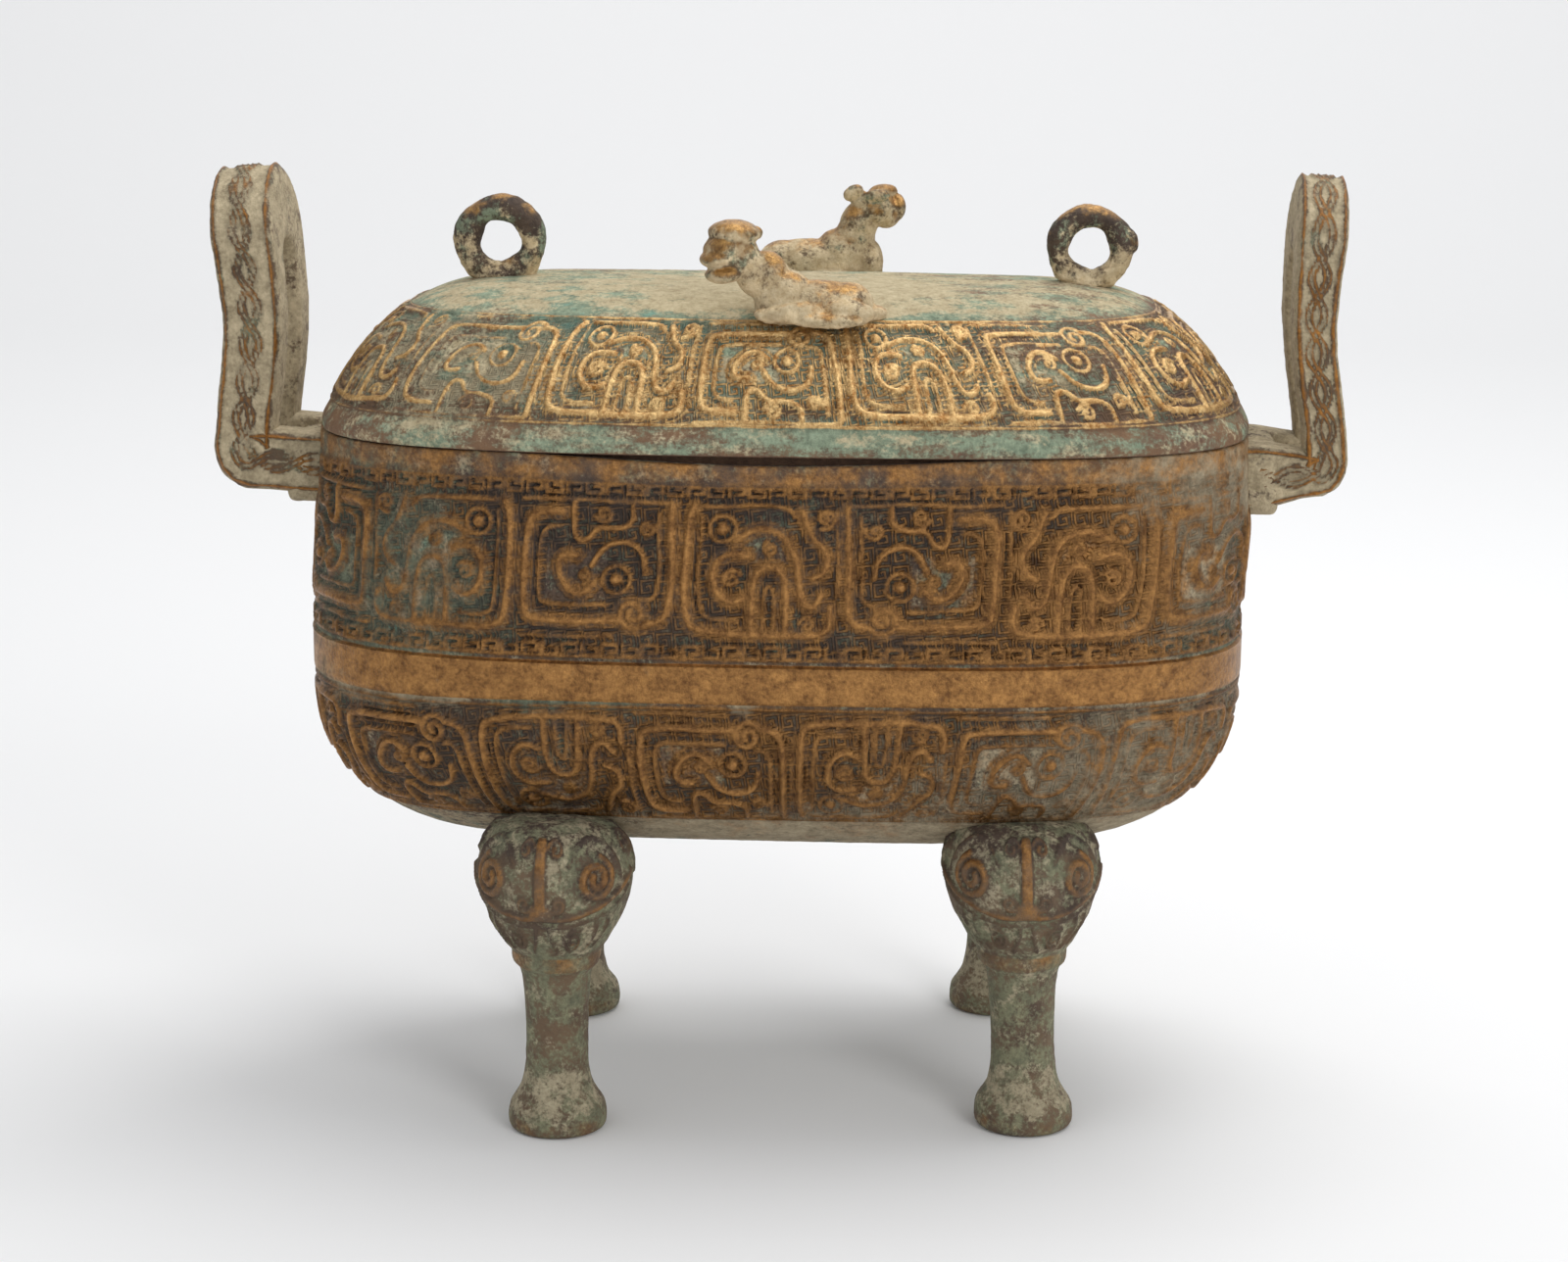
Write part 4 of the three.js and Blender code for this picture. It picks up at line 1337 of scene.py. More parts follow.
    def build(self, material: bpy.types.Material) -> None:
        """Makes both pieces of the pot."""
        sizes = self.sizes
        pitch = self.plan.perimeter / PANELS_ROUND
        upper = Belt(
            height=sizes.rim_strip_z - sizes.upper_low_z,
            first_x=27.0,
            pitch=pitch,
            strip=6.5,
            flips=((False, True), (True, False), (True, True), (False, False)),
            plate=6.0,
        )
        radius, height = self.upper_profile()
        outer = int(np.argmax(height)) + 1
        skin = self.skin(radius, height, outer, upper, sizes.upper_low_z, self.upper_patches)
        skin.wrap_rows = True
        dress(mesh_of("pot_upper", [skin]), material, Slot.BODY, "pot_body")
        radius, height = self.lower_profile()
        outer = int(np.argmax(height)) + 1
        belly = self.belly_heights(sizes.lower_low_z, sizes.lower_high_z, 1.0)
        lower = Belt(
            height=float(profile_length(self.half_depth(belly), belly)[-1]),
            first_x=10.5,
            pitch=pitch,
            strip=1.6,
            flips=((False, True), (True, False)),
            panels=(ARCH_PANEL, EYE_PANEL),
        )
        skin = self.skin(radius, height, outer, lower, sizes.lower_low_z, self.lower_patches)
        skin.cap_first = skin.cap_last = True
        dress(mesh_of("pot_lower", [skin]), material, Slot.BODY, "pot_body")


@dataclass
class Lid:
    """The domed lid, one closed shell with a lip that sits inside the rim."""

    plan: Plan
    sizes: LidSizes = field(default_factory=LidSizes)
    relief_height: float = 1.6
    relief_sink: float = 0.4
    relief_rows: float = 0.84
    patches: tuple[Patch, ...] = (
        Patch(Carried.GILT, 35, 281, 125, 22, 0.26),
        Patch(Carried.GILT, -25, 281, 60, 18, 0.16),
        Patch(Carried.GREEN, 20, 283, 140, 22, 0.16),
        Patch(Carried.CRUST, 30, 283, 130, 22, 0.12),
        Patch(Carried.GILT, 60, 261, 90, 5, 0.1),
        Patch(Carried.GREEN, 0, 260, 120, 6, 0.1),
        Patch(Carried.CRUST, -60, 259, 60, 5, 0.06),
        Patch(Carried.CRUST, -120, 281, 60, 22, 0.2),
        Patch(Carried.DARK, 0, 259, 190, 5, 0.14),
        Patch(Carried.GREEN, -120, 285, 40, 26, 0.1),
        Patch(Carried.CRUST, 0, 306, 60, 6, 0.2),
        Patch(Carried.DARK, 150, 280, 16, 26, 0.25),
        Patch(Carried.GREEN, -40, 298, 90, 8, 0.2),
    )

    def rise_at(self, radius: Array) -> Array:
        """Height of the outside: the edge, plus the dome's rise times (1 - share^flat_power)
        to the power 1 / side_power."""
        sizes = self.sizes
        share = np.clip(radius / sizes.half_depth, 0.0, 1.0)
        dome = (1.0 - share**sizes.flat_power) ** (1.0 / sizes.side_power)
        return sizes.base_z + sizes.edge_height + (sizes.rise - sizes.edge_height) * dome

    def top_at(self, x: Array, y: Array) -> Array:
        """Height of the lid's top over a place on the ground."""
        return self.rise_at(self.plan.half_depth_at(np.asarray(x) - self.sizes.shift_x, np.asarray(y)))

    def dome(self) -> tuple[Array, Array]:
        """Outside of the dome from its edge to near the middle: rows close together over
        the ornament and wider apart on the plain top."""
        sizes = self.sizes
        share = 1.0 - np.linspace(0.0, 1.0, 4001) ** 2
        radius = sizes.half_depth * share
        height = self.rise_at(radius)
        travelled = profile_length(radius, height)
        low = np.interp(sizes.relief_low_z, height, travelled)
        high = np.interp(sizes.relief_high_z, height, travelled)
        end = travelled[np.argmax(radius < 2.0)]
        stops = np.concatenate(
            [
                np.arange(1.0, low, 1.3),
                np.arange(low, high, self.relief_rows),
                np.linspace(high, end, 26),
            ]
        )
        return np.interp(stops, travelled, radius), np.interp(stops, travelled, height)

    def build(self, material: bpy.types.Material) -> None:
        """Makes the lid. The profile runs from the ceiling inside, down to the lip, out to
        the edge, up it, and over the dome."""
        sizes, plan = self.sizes, self.plan
        dome_r, dome_z = self.dome()
        lip_inner = sizes.lip_outer - sizes.lip_wall
        ceiling_r = np.array([2.0, 25.0, 45.0, 58.0, 68.0, 75.0, 79.5])
        ceiling_z = self.rise_at(ceiling_r) - sizes.wall * np.array([1, 1, 1.1, 1.2, 1.4, 1.6, 1.8])
        lip_z = sizes.base_z - 0.3 - sizes.lip_depth
        lip_outer, base_z = sizes.lip_outer, sizes.base_z
        under_r = np.array([lip_inner, lip_inner, lip_inner + 1.5, lip_outer, lip_outer, 88.5, 91.6])
        under_z = np.array([262.0, lip_z + 0.4, lip_z, lip_z + 0.3, base_z, base_z, base_z])
        edge_r = np.array([92.2, sizes.half_depth, sizes.half_depth])
        edge_z = sizes.base_z + np.array([0.4, 1.6, 3.4])
        radius = np.concatenate([ceiling_r, under_r, edge_r, dome_r])
        height = np.concatenate([ceiling_z, under_z, edge_z, dome_z])
        normal = profile_normal(radius, height)
        travelled = profile_length(radius, height)
        inner_rows = len(ceiling_r) + len(under_r)
        outside = np.arange(len(radius)) >= inner_rows
        first = inner_rows + len(edge_r)
        foot = np.interp(sizes.relief_low_z, dome_z, travelled[first:])
        crown = np.interp(sizes.relief_high_z, dome_z, travelled[first:])
        belt = Belt(
            height=crown - foot,
            first_x=28.0,
            pitch=plan.perimeter / PANELS_ROUND,
            strip=1.4,
            flips=((False, False), (True, False)),
            panels=(ARCH_PANEL, EYE_PANEL),
        )
        grid_along, grid_up = np.meshgrid(plan.along, travelled - foot)
        base = plan.surface(radius, height[:, None])
        raised, dotted, fade = belt.lay(grid_along, grid_up, outside)
        wear = np.clip(0.6 + 0.55 * patchy(base, 45.0, 5), 0.3, 1.1)
        level = smooth_step(radius, 3.0, 14.0) * outside
        dents = 1.2 * (patchy(base, 80.0, 13, 2) - 0.5) + 0.3 * (patchy(base, 3.4, 19) - 0.5)
        dents = dents * level[:, None]
        out = fade * (self.relief_height * wear * raised - self.relief_sink) + dents
        spread = radius[:, None] + out * normal[:, :1]
        points = plan.surface(spread, height[:, None] + out * normal[:, 1:])
        narrow = smooth_step(np.abs(points[..., 0]), 110.0, 165.0)
        narrow = narrow * smooth_step(points[..., 2], 257.0, 266.0)
        points[..., 0] -= 0.9 * narrow * np.sign(points[..., 0])
        points[..., 0] += sizes.shift_x + 1.0 - 1.2 * smooth_step(points[..., 2], 258.0, 300.0)
        fields = blank_fields(grid_up.shape)
        add_patches(fields, base, self.patches)
        fields[Carried.RELIEF] = np.clip(raised * fade * wear, 0.0, 1.0)
        fields[Carried.DOTS] = fade * dotted * np.clip(1.0 - 2.0 * raised, 0.0, 1.0)
        ground = np.clip(1.15 - 1.9 * raised, 0.0, 1.0)
        fields[Carried.FRET] = fade * ground * wear * (1.0 - fields[Carried.DOTS])
        plain = smooth_step(grid_up, belt.height, belt.height + 8.0)
        fields[Carried.GREEN] = fields[Carried.GREEN] + 0.11 * plain
        fields[Carried.CRUST] = fields[Carried.CRUST] + 0.12 * plain
        fields[Carried.GILT] = fields[Carried.GILT] - 0.22 * plain
        # Painted shade: the inside, the lip and the underside of the edge are darkened, with less green and
        # earth; no gold inside.
        inside = (~outside)[:, None] * 1.0
        fields[Carried.DARK] = fields[Carried.DARK] + 0.5 * inside
        fields[Carried.GREEN] = fields[Carried.GREEN] - 0.5 * inside
        fields[Carried.CRUST] = fields[Carried.CRUST] - 0.5 * inside
        fields[Carried.GILT] = fields[Carried.GILT] - inside
        skin = Skin(points, fields, plan.closed_along(), travelled, cap_first=True, cap_last=True)
        dress(mesh_of("lid_shell", [skin]), material, Slot.LID, "lid")


class LegPlace(Enum):
    """Each leg's CAD node, its centre in millimetres, the way its mask faces in degrees, and
    how far its foot stands to the right of its mask."""

    FRONT_LEFT = ("leg_front_left", -77.9, -75.7, -4.0, 0.0)
    FRONT_RIGHT = ("leg_front_right", 92.2, -60.8, 4.0, 3.0)
    BACK_LEFT = ("leg_back_left", -88.2, 60.8, 184.0, 0.0)
    BACK_RIGHT = ("leg_back_right", 84.2, 75.7, 176.0, 0.0)


MASK_SIDE: tuple[Ornament, ...] = (
    Curl((6.2, 104.0), 3.5, 1.2, 170, -1, 2.2, 1.1),
    Curl((6.4, 85.2), 3.4, 1.2, 190, 1, 2.2, 1.1),
    Curl((21.5, 93.5), 8.2, 1.8, 70, -1, 2.8, 1.25),
    Line(((11.0, 99.0), (16.0, 105.5), (26.0, 107.5), (33.0, 101.0), (34.5, 92.0)), 2.2, 0.9),
    Line(((0.0, 80.0), (8.0, 79.4), (16.0, 80.6), (24.0, 83.2), (33.0, 87.0), (42.0, 93.0)), 3.0, 1.2),
    Line(((0.0, 76.4), (9.0, 75.8), (18.0, 77.2), (27.0, 80.0), (36.0, 84.0), (44.0, 90.0)), 1.6, 0.8),
    Curl((13.8, 69.6), 5.0, 1.7, 60, 1, 1.8, 0.95),
    Line(((2.8, 76.0), (3.4, 70.0), (6.4, 64.5)), 2.0, 0.9),
    Line(((23.0, 78.0), (25.5, 72.0), (20.5, 65.0)), 2.0, 0.9),
    Line(((29.0, 80.0), (31.0, 73.0), (26.0, 66.0)), 1.7, 0.8),
    Curl((44.0, 102.0), 5.6, 1.6, 200, -1, 2.1, 1.0),
    Line(((37.0, 111.0), (46.0, 110.5), (52.0, 102.0), (49.0, 91.0)), 2.1, 0.9),
)


@dataclass
class Leg:
    """One leg: flared foot, thin shank, collar, and a bulging animal mask under the pot."""

    place: LegPlace
    pot: Pot
    profile: tuple[tuple[float, float], ...] = (
        (2.0, 0.0), (16.0, 0.0), (17.9, 0.5), (18.4, 2.5), (18.3, 6.0), (17.7, 9.5), (15.6, 12.5),
        (13.6, 15.5), (12.5, 19.0), (11.8, 24.0), (11.5, 31.0), (11.6, 38.0), (11.9, 46.0), (12.4, 54.0),
        (13.2, 60.0), (13.9, 62.4), (15.4, 63.3), (16.2, 64.6), (16.6, 68.0), (16.2, 69.2), (17.6, 70.4),
        (19.6, 73.0), (22.0, 77.5), (25.2, 83.5), (27.5, 90.5), (28.5, 97.0), (28.2, 104.0), (26.2, 110.5),
        (21.5, 116.5), (14.0, 119.0), (2.0, 119.0),
    )
    row_step: float = 0.95
    front_columns: int = 150
    back_columns: int = 54
    relief_height: float = 1.9
    mask_rise: float = 8.4
    mask_radius: float = 30.0
    sunk_in_pot: float = 1.4

    def columns(self) -> Array:
        """Angles round the leg from the front of its mask, close together over the mask."""
        front = np.linspace(-math.radians(118.0), math.radians(118.0), self.front_columns, endpoint=False)
        back = np.linspace(math.radians(118.0), math.radians(242.0), self.back_columns, endpoint=False)
        return np.concatenate([front, back])

    def rows(self) -> tuple[Array, Array]:
        """Radius and height up the leg, eased through the profile's points and spaced
        evenly along it, wider apart below the collar."""
        shape = np.array(self.profile)
        travelled = profile_length(shape[:, 0], shape[:, 1])
        foot = np.interp(18.0, shape[1:, 1], travelled[1:])
        collar = np.interp(55.0, shape[1:, 1], travelled[1:])
        stops = np.concatenate(
            [
                np.linspace(0.0, foot, 26, endpoint=False),
                np.linspace(foot, collar, 22, endpoint=False),
                np.arange(collar, travelled[-1], self.row_step),
                travelled[-1:],
            ]
        )
        radius = np.interp(stops, travelled, shape[:, 0])
        height = np.interp(stops, travelled, shape[:, 1])
        kernel = np.array([0.25, 0.5, 0.25])
        for _ in range(2):
            radius[1:-1] = np.convolve(radius, kernel, "valid")
            height[1:-1] = np.convolve(height, kernel, "valid")
        return radius, np.maximum(height, 0.0)

    def mask(self, around: Array, z: Array) -> Array:
        """Height of the mask: a nose ridge that broadens to a snout, and each side's eye,
        brows and curls mirrored about the nose."""
        side = np.abs(around)
        z = z - self.mask_rise
        places = np.stack([side.ravel(), z.ravel()], -1)
        raised, _ = carve_panel(places, MASK_SIDE, np.ones(2), 0.0)
        raised = raised.reshape(z.shape)
        ridge = smooth_step(side, 3.4, 1.4) * smooth_step(z, 80.0, 82.0) * smooth_step(z, 109.5, 106.5)
        snout = smooth_step(side + 0.5 * (z - 80.0), 7.0, 4.5)
        snout = snout * smooth_step(z, 78.5, 80.5) * smooth_step(z, 88.0, 84.0)
        raised = np.maximum(raised, np.maximum(1.35 * ridge, 1.2 * snout))
        mound = smooth_step(np.hypot(side - 21.0, z - 93.5), 12.0, 4.0)
        raised = np.maximum(raised, 0.3) + 0.45 * mound - 0.3
        return raised * smooth_step(z, 61.5, 63.5) * smooth_step(z, 111.0, 108.0)

    def build(self, material: bpy.types.Material) -> None:
        """Turns the profile round, raises the mask along its normals, moves the leg to its
        place, and keeps its top inside the thickness of the pot's wall."""
        node, place_x, place_y, facing, lean = self.place.value
        radius, height = self.rows()
        angle = self.columns()
        normal = profile_normal(radius, height)
        travelled = profile_length(radius, height)
        around, z = np.meshgrid(angle * self.mask_radius, height)
        raised = self.mask(around, z)
        front = smooth_step(np.abs(around), 61.0, 54.0)
        raised = raised * front
        seed = len(node)
        base = np.stack([radius[:, None] * np.sin(angle), -radius[:, None] * np.cos(angle), z], -1)
        shifted = base + np.array([place_x, place_y, 0.0])
        swell = 0.9 * (patchy(shifted, 26.0, seed, 2) - 0.5)
        swell = swell + 0.7 * (patchy(shifted, 4.2, seed + 5) - 0.5)
        swell = swell * smooth_step(z, 0.2, 4.0)
        flow = 0.8 * np.exp(-(((z - 66.2) / 3.0) ** 4)) * (patchy(shifted, 9.0, seed + 9) - 0.4)
        out = self.relief_height * raised + swell + flow
        out[[0, 1, -1]] = 0.0
        spread = radius[:, None] + out * normal[:, :1]
        points = np.stack(
            [spread * np.sin(angle), -spread * np.cos(angle), np.maximum(z + out * normal[:, 1:], 0.0)], -1
        )
        turn = math.radians(facing)
        turned = points.copy()
        turned[..., 0] = points[..., 0] * math.cos(turn) - points[..., 1] * math.sin(turn) + place_x
        turned[..., 1] = points[..., 0] * math.sin(turn) + points[..., 1] * math.cos(turn) + place_y
        turned[..., 0] += lean * (1.0 - points[..., 2] / 110.0)
        plan = self.pot.plan
        under = plan.half_depth_at(turned[..., 0], turned[..., 1])
        ceiling = self.pot.underside_z(under) + self.sunk_in_pot
        ceiling = np.where(under > plan.sizes.half_depth, 400.0, ceiling)
        turned[..., 2] = np.minimum(turned[..., 2], ceiling)
        fields = blank_fields(z.shape)
        fields[Carried.RELIEF] = np.clip(raised, 0.0, 1.0)
        collar = smooth_step(z, 62.2, 63.7) * smooth_step(z, 70.2, 68.8)
        sole = smooth_step(z, 10.0, 5.0)
        fields[Carried.GILT] = fields[Carried.GILT] + 0.44 * collar + 0.38 * sole - 0.04
        ankle = smooth_step(z, 6.0, 11.0) * smooth_step(z, 30.0, 20.0)
        fields[Carried.CRUST] = fields[Carried.CRUST] + 0.16 * ankle + 0.08 * smooth_step(z, 70.0, 72.0)
        fields[Carried.GREEN] = fields[Carried.GREEN] + 0.1
        # Painted shade at the top of the mask, tucked under the belly.
        fields[Carried.DARK] = fields[Carried.DARK] + 0.4 * smooth_step(z, 107.0, 116.0)
        along = np.append(angle, angle[0] + 2 * math.pi) * self.mask_radius
        skin = Skin(turned, fields, along, travelled, cap_first=True, cap_last=True)
        dress(mesh_of(self.place.name.lower() + "_leg", [skin]), material, Slot.LEGS, node)


@dataclass
class Handle:
    """A slotted arch that bends over into a level arm, cast on to the pot's end. The arch is
    a bar carried up one side, round the top and down the other."""

    side: int
    spine: tuple[tuple[float, float], ...] = (
        (169.6, 239.6), (176.0, 239.8), (184.0, 240.2), (192.0, 240.8), (200.4, 240.8), (202.2, 245.0),
        (201.2, 258.0), (198.8, 272.0), (197.0, 284.0), (195.9, 296.0), (196.2, 310.0), (197.2, 326.0),
        (198.5, 347.7),
    )
    thickness: float = 18.0
    arm_height: float = 24.0
    half_width: float = 28.0
    slot_half: float = 11.0
    top_bar: float = 28.0
    corner: float = 25.0
    section_points: int = 72
    bar_points: int = 300
    bend_smooths: int = 8
    root_z: float = 237.8
    flare: float = 2.2
    lean: float = 0.0
    shift: float = 0.0
    arm_ends: tuple[float, float] = (34.0, 14.0)
    root_x: float = 177.4
    wave_length: float = 26.0
    wave_swing: float = 2.8
    line_lift: float = 1.3
    section_power: int = 9

    def spine_at(self, distance: Array) -> tuple[Array, Array, Array]:
        """Point, outward normal and thickness of the plate at a distance from its root.

        Args:
            distance: millimetres along the plate from its root.

        Returns:
            Points (..., 2) as x and z, normals (..., 2), and thickness (...).
        """
        shape = np.array(self.spine)
        shape[:, 0] += self.lean * smooth_step(shape[:, 1], 262.0, 346.0) + self.shift
        travelled = profile_length(shape[:, 0], shape[:, 1])
        fine = np.linspace(0.0, travelled[-1], 600)
        path = np.stack([np.interp(fine, travelled, shape[:, k]) for k in (0, 1)], -1)
        for _ in range(self.bend_smooths):
            path[1:-1] = 0.25 * path[:-2] + 0.5 * path[1:-1] + 0.25 * path[2:]
        step = np.gradient(path, axis=0)
        step /= np.linalg.norm(step, axis=-1, keepdims=True)
        normal = np.stack([step[:, 1], -step[:, 0]], -1)
        thick = self.thickness + (self.arm_height - self.thickness) * smooth_step(fine, *self.arm_ends)
        thick = thick + self.flare * smooth_step(path[:, 1], 290.0, 332.0)
        tracks = (path[:, 0], path[:, 1], normal[:, 0], normal[:, 1], thick)
        flat = [np.interp(distance, fine, value) for value in tracks]
        return np.stack(flat[:2], -1), np.stack(flat[2:4], -1), flat[4]

    def length(self) -> float:
        """Length of the plate from its root to its top."""
        shape = np.array(self.spine)
        return float(profile_length(shape[:, 0], shape[:, 1])[-1])

    def edges(self) -> tuple[Array, Array]:
        """Inner and outer edge of the bar as (across, along the plate), matched point for
        point from the root on one side, round the top, to the root on the other."""
        top = self.length()
        slot_top = top - self.top_bar - self.slot_half
        shoulder = top - self.corner
        straight = np.linspace(0.0, 1.0, self.bar_points // 3, endpoint=False)
        bend = np.linspace(0.0, math.pi, self.bar_points // 3)
        inner_up = np.stack([np.full(straight.shape, -self.slot_half), straight * slot_top], -1)
        inner_bend = np.stack(
            [-self.slot_half * np.cos(bend), slot_top + self.slot_half * np.sin(bend)], -1
        )
        outer_up = np.stack([np.full(straight.shape, -self.half_width), straight * shoulder], -1)
        reach = self.half_width - self.corner
        outer_bend = np.stack(
            [
                -self.corner * np.cos(bend) - reach * np.cos(bend) ** 3,
                shoulder + self.corner * np.sin(bend),
            ],
            -1,
        )
        mirror = np.array([-1.0, 1.0])
        inner = np.concatenate([inner_up, inner_bend, (inner_up * mirror)[::-1]])
        outer = np.concatenate([outer_up, outer_bend, (outer_up * mirror)[::-1]])
        return inner, outer

    def section(self) -> tuple[Array, Array]:
        """Rounded rectangle as shares: across the bar from 0 at the slot to 1 at the rim,
        and through the plate from -1 inside to 1 outside, a superellipse."""
        turn = np.linspace(0.0, 2.0 * math.pi, self.section_points, endpoint=False)
        direction = np.stack([np.cos(turn), np.sin(turn)], -1)
        size = (np.abs(direction) ** self.section_power).sum(-1) ** (-1.0 / self.section_power)
        unit = direction * size[:, None]
        return 0.5 - 0.5 * unit[:, 0], unit[:, 1]

    def bar(self) -> Skin:
        """The bar as a surface: along it by rows, and round its section by columns."""
        inner, outer = self.edges()
        across, through = self.section()
        flat = inner[:, None] * (1.0 - across[None, :, None]) + outer[:, None] * across[None, :, None]
        point, normal, thick = self.spine_at(flat[..., 1])
        travelled = profile_length(*(0.5 * (inner + outer)).T)
        width = np.linalg.norm(outer - inner, axis=-1)[:, None]
        rim_face = smooth_step(across, 0.93, 0.985)[None, :]
        wave = 2.0 * math.pi * travelled[:, None] / self.wave_length
        lie = through[None, :] * 0.5 * thick
        fillet = crest(np.abs(np.abs(lie) - 0.5 * thick + 1.7), 1.6)
        braid = np.zeros(flat.shape[:2])
        for phase, offset in ((0.0, -1.1), (math.pi, 1.1), (0.0, 1.1), (math.pi, -1.1)):
            gap = np.abs(lie - self.wave_swing * np.sin(wave + phase) - offset)
            braid = np.maximum(braid, crest(0.86 * gap, 0.9))
        ornament = rim_face * np.maximum(fillet, 0.9 * braid)
        lift = self.line_lift * ornament
        flat = flat + lift[..., None] * (outer - inner)[:, None] / width[..., None]
        point, normal, thick = self.spine_at(flat[..., 1])
        over = np.maximum(flat[..., 1] - self.length(), 0.0)
        offset = through[None, :] * 0.5 * thick
        points = np.stack(
            [
                point[..., 0] + normal[..., 0] * offset,
                flat[..., 0],
                point[..., 1] + normal[..., 1] * offset + over,
            ],
            -1,
        )
        noise = 0.9 * (patchy(points, 22.0, 31 + self.side, 2) - 0.5)
        noise = noise + 0.55 * (patchy(points, 3.0, 37 + self.side) - 0.5)
        points[..., 0] += normal[..., 0] * noise * np.sign(through)[None, :]
        points[..., 1] += 0.6 * noise
        fields = blank_fields(points.shape[:2])
        edge = rim_face * np.clip(fillet, 0.0, 1.0)
        fields[Carried.RELIEF] = np.maximum(edge, 0.9 * ornament)
        fields[Carried.GILT] = fields[Carried.GILT] + 0.14 * ornament - 0.1
        fields[Carried.CRUST] = fields[Carried.CRUST] + 0.22 + 0.12 * rim_face - 0.3 * ornament
        fields[Carried.GREEN] = fields[Carried.GREEN] + 0.12 * rim_face
        along = np.append(across, across[0]) * (self.half_width - self.slot_half)
        return Skin(points, fields, along, travelled, cap_first=True, cap_last=True)

    def root(self) -> Skin:
        """The rough block that joins both bars to the pot: a box-like superellipsoid, lumpy
        with casting metal."""
        turn = np.linspace(0.0, 2.0 * math.pi, 96, endpoint=False)
        tilt = np.linspace(-0.495 * math.pi, 0.495 * math.pi, 60)
        ring = np.stack([np.cos(turn), np.sin(turn)], -1)
        ring *= (np.abs(ring) ** 6).sum(-1, keepdims=True) ** (-1.0 / 6)
        radial, level = np.cos(tilt), np.sin(tilt)
        scale = (np.abs(radial) ** 6 + np.abs(level) ** 6) ** (-1.0 / 6)
        radial, level = radial * scale, level * scale
        half = np.array([7.6, self.half_width + 0.6, 0.5 * self.arm_height + 1.0])
        points = np.stack(
            [
                self.root_x + half[0] * level[:, None] * np.ones(len(turn)),
                half[1] * radial[:, None] * ring[:, 0],
                self.root_z + half[2] * radial[:, None] * ring[:, 1],
            ],
            -1,
        )
        lumps = 3.2 * (patchy(points, 12.0, 41 + self.side) - 0.45)
        lumps = lumps + 1.4 * (patchy(points, 3.2, 43 + self.side) - 0.5)
        away = points - np.array([self.root_x, 0.0, self.root_z])
        away /= np.linalg.norm(away, axis=-1, keepdims=True)
        free = smooth_step(points[..., 0], 171.0, 173.5)
        points = points + away * (lumps * free)[..., None]
        fields = blank_fields(points.shape[:2])
        fields[Carried.CRUST] = fields[Carried.CRUST] + 0.22
        fields[Carried.DARK] = fields[Carried.DARK] + 0.2
        fields[Carried.GILT] = fields[Carried.GILT] - 0.2
        along = np.append(turn, 2 * math.pi) * 15.0
        return Skin(points, fields, along, tilt * 20.0, cap_first=True, cap_last=True)

    def build(self, material: bpy.types.Material) -> None:
        """Makes the handle; the left one is the right one turned half round."""
        skins = [self.bar(), self.root()]
        for skin in skins:
            skin.points = skin.points * np.array([self.side, self.side, 1.0])
        name = "handle_right" if self.side > 0 else "handle_left"
        dress(mesh_of(name + "_bar", skins), material, Slot.HANDLES, name)


@dataclass(frozen=True)
class Ball:
    """A stretched ball: centre, half-sizes, and turns about Z and Y in degrees."""

    centre: tuple[float, float, float]
    radii: tuple[float, float, float]
    turn_z: float = 0.0
    tilt_y: float = 0.0

    def skin(self) -> Skin:
        """The ball as rings from its foot to its crown: each ring's radius is the cosine of
        its latitude, and its height the sine."""
        turn = np.linspace(0.0, 2.0 * math.pi, 40, endpoint=False)
        tilt = np.linspace(-0.49 * math.pi, 0.49 * math.pi, 24)
        points = np.stack(
            [
                np.cos(tilt)[:, None] * np.cos(turn),
                np.cos(tilt)[:, None] * np.sin(turn),
                np.sin(tilt)[:, None] * np.ones(len(turn)),
            ],
            -1,
        ) * np.array(self.radii)
        turned = Matrix.Rotation(math.radians(self.turn_z), 3, "Z")
        tilted = Matrix.Rotation(math.radians(self.tilt_y), 3, "Y")
        points = points @ np.array(turned @ tilted).T + np.array(self.centre)
        fields = blank_fields(points.shape[:2])
        return Skin(points, fields, np.zeros(len(turn) + 1), tilt, cap_first=True, cap_last=True)


def fused(name: str, skins: list[Skin], voxel: float, smooths: int) -> bpy.types.Object:
    """Melts overlapping closed surfaces into one skin of even squares, then eases it.

    Args:
        name: the object's name.
        skins: closed surfaces that overlap.
        voxel: size of the squares in millimetres.
        smooths: how often each point moves to the mean of its neighbours.

    Returns:
        The fused object, at the origin.
    """
    rough = mesh_of(name + "_rough", skins)
    melt = rough.modifiers.new("melt", "REMESH")
    melt.mode = "VOXEL"
    melt.voxel_size = voxel * MM
    melt.use_smooth_shade = True
    ease = rough.modifiers.new("ease", "SMOOTH")
    ease.factor = 0.5
    ease.iterations = smooths
    graph = bpy.context.evaluated_depsgraph_get()
    mesh = bpy.data.meshes.new_from_object(rough.evaluated_get(graph))
    bpy.data.objects.remove(rough)
    mesh.name = name
    piece = bpy.data.objects.new(name, mesh)
    bpy.context.scene.collection.objects.link(piece)
    return piece


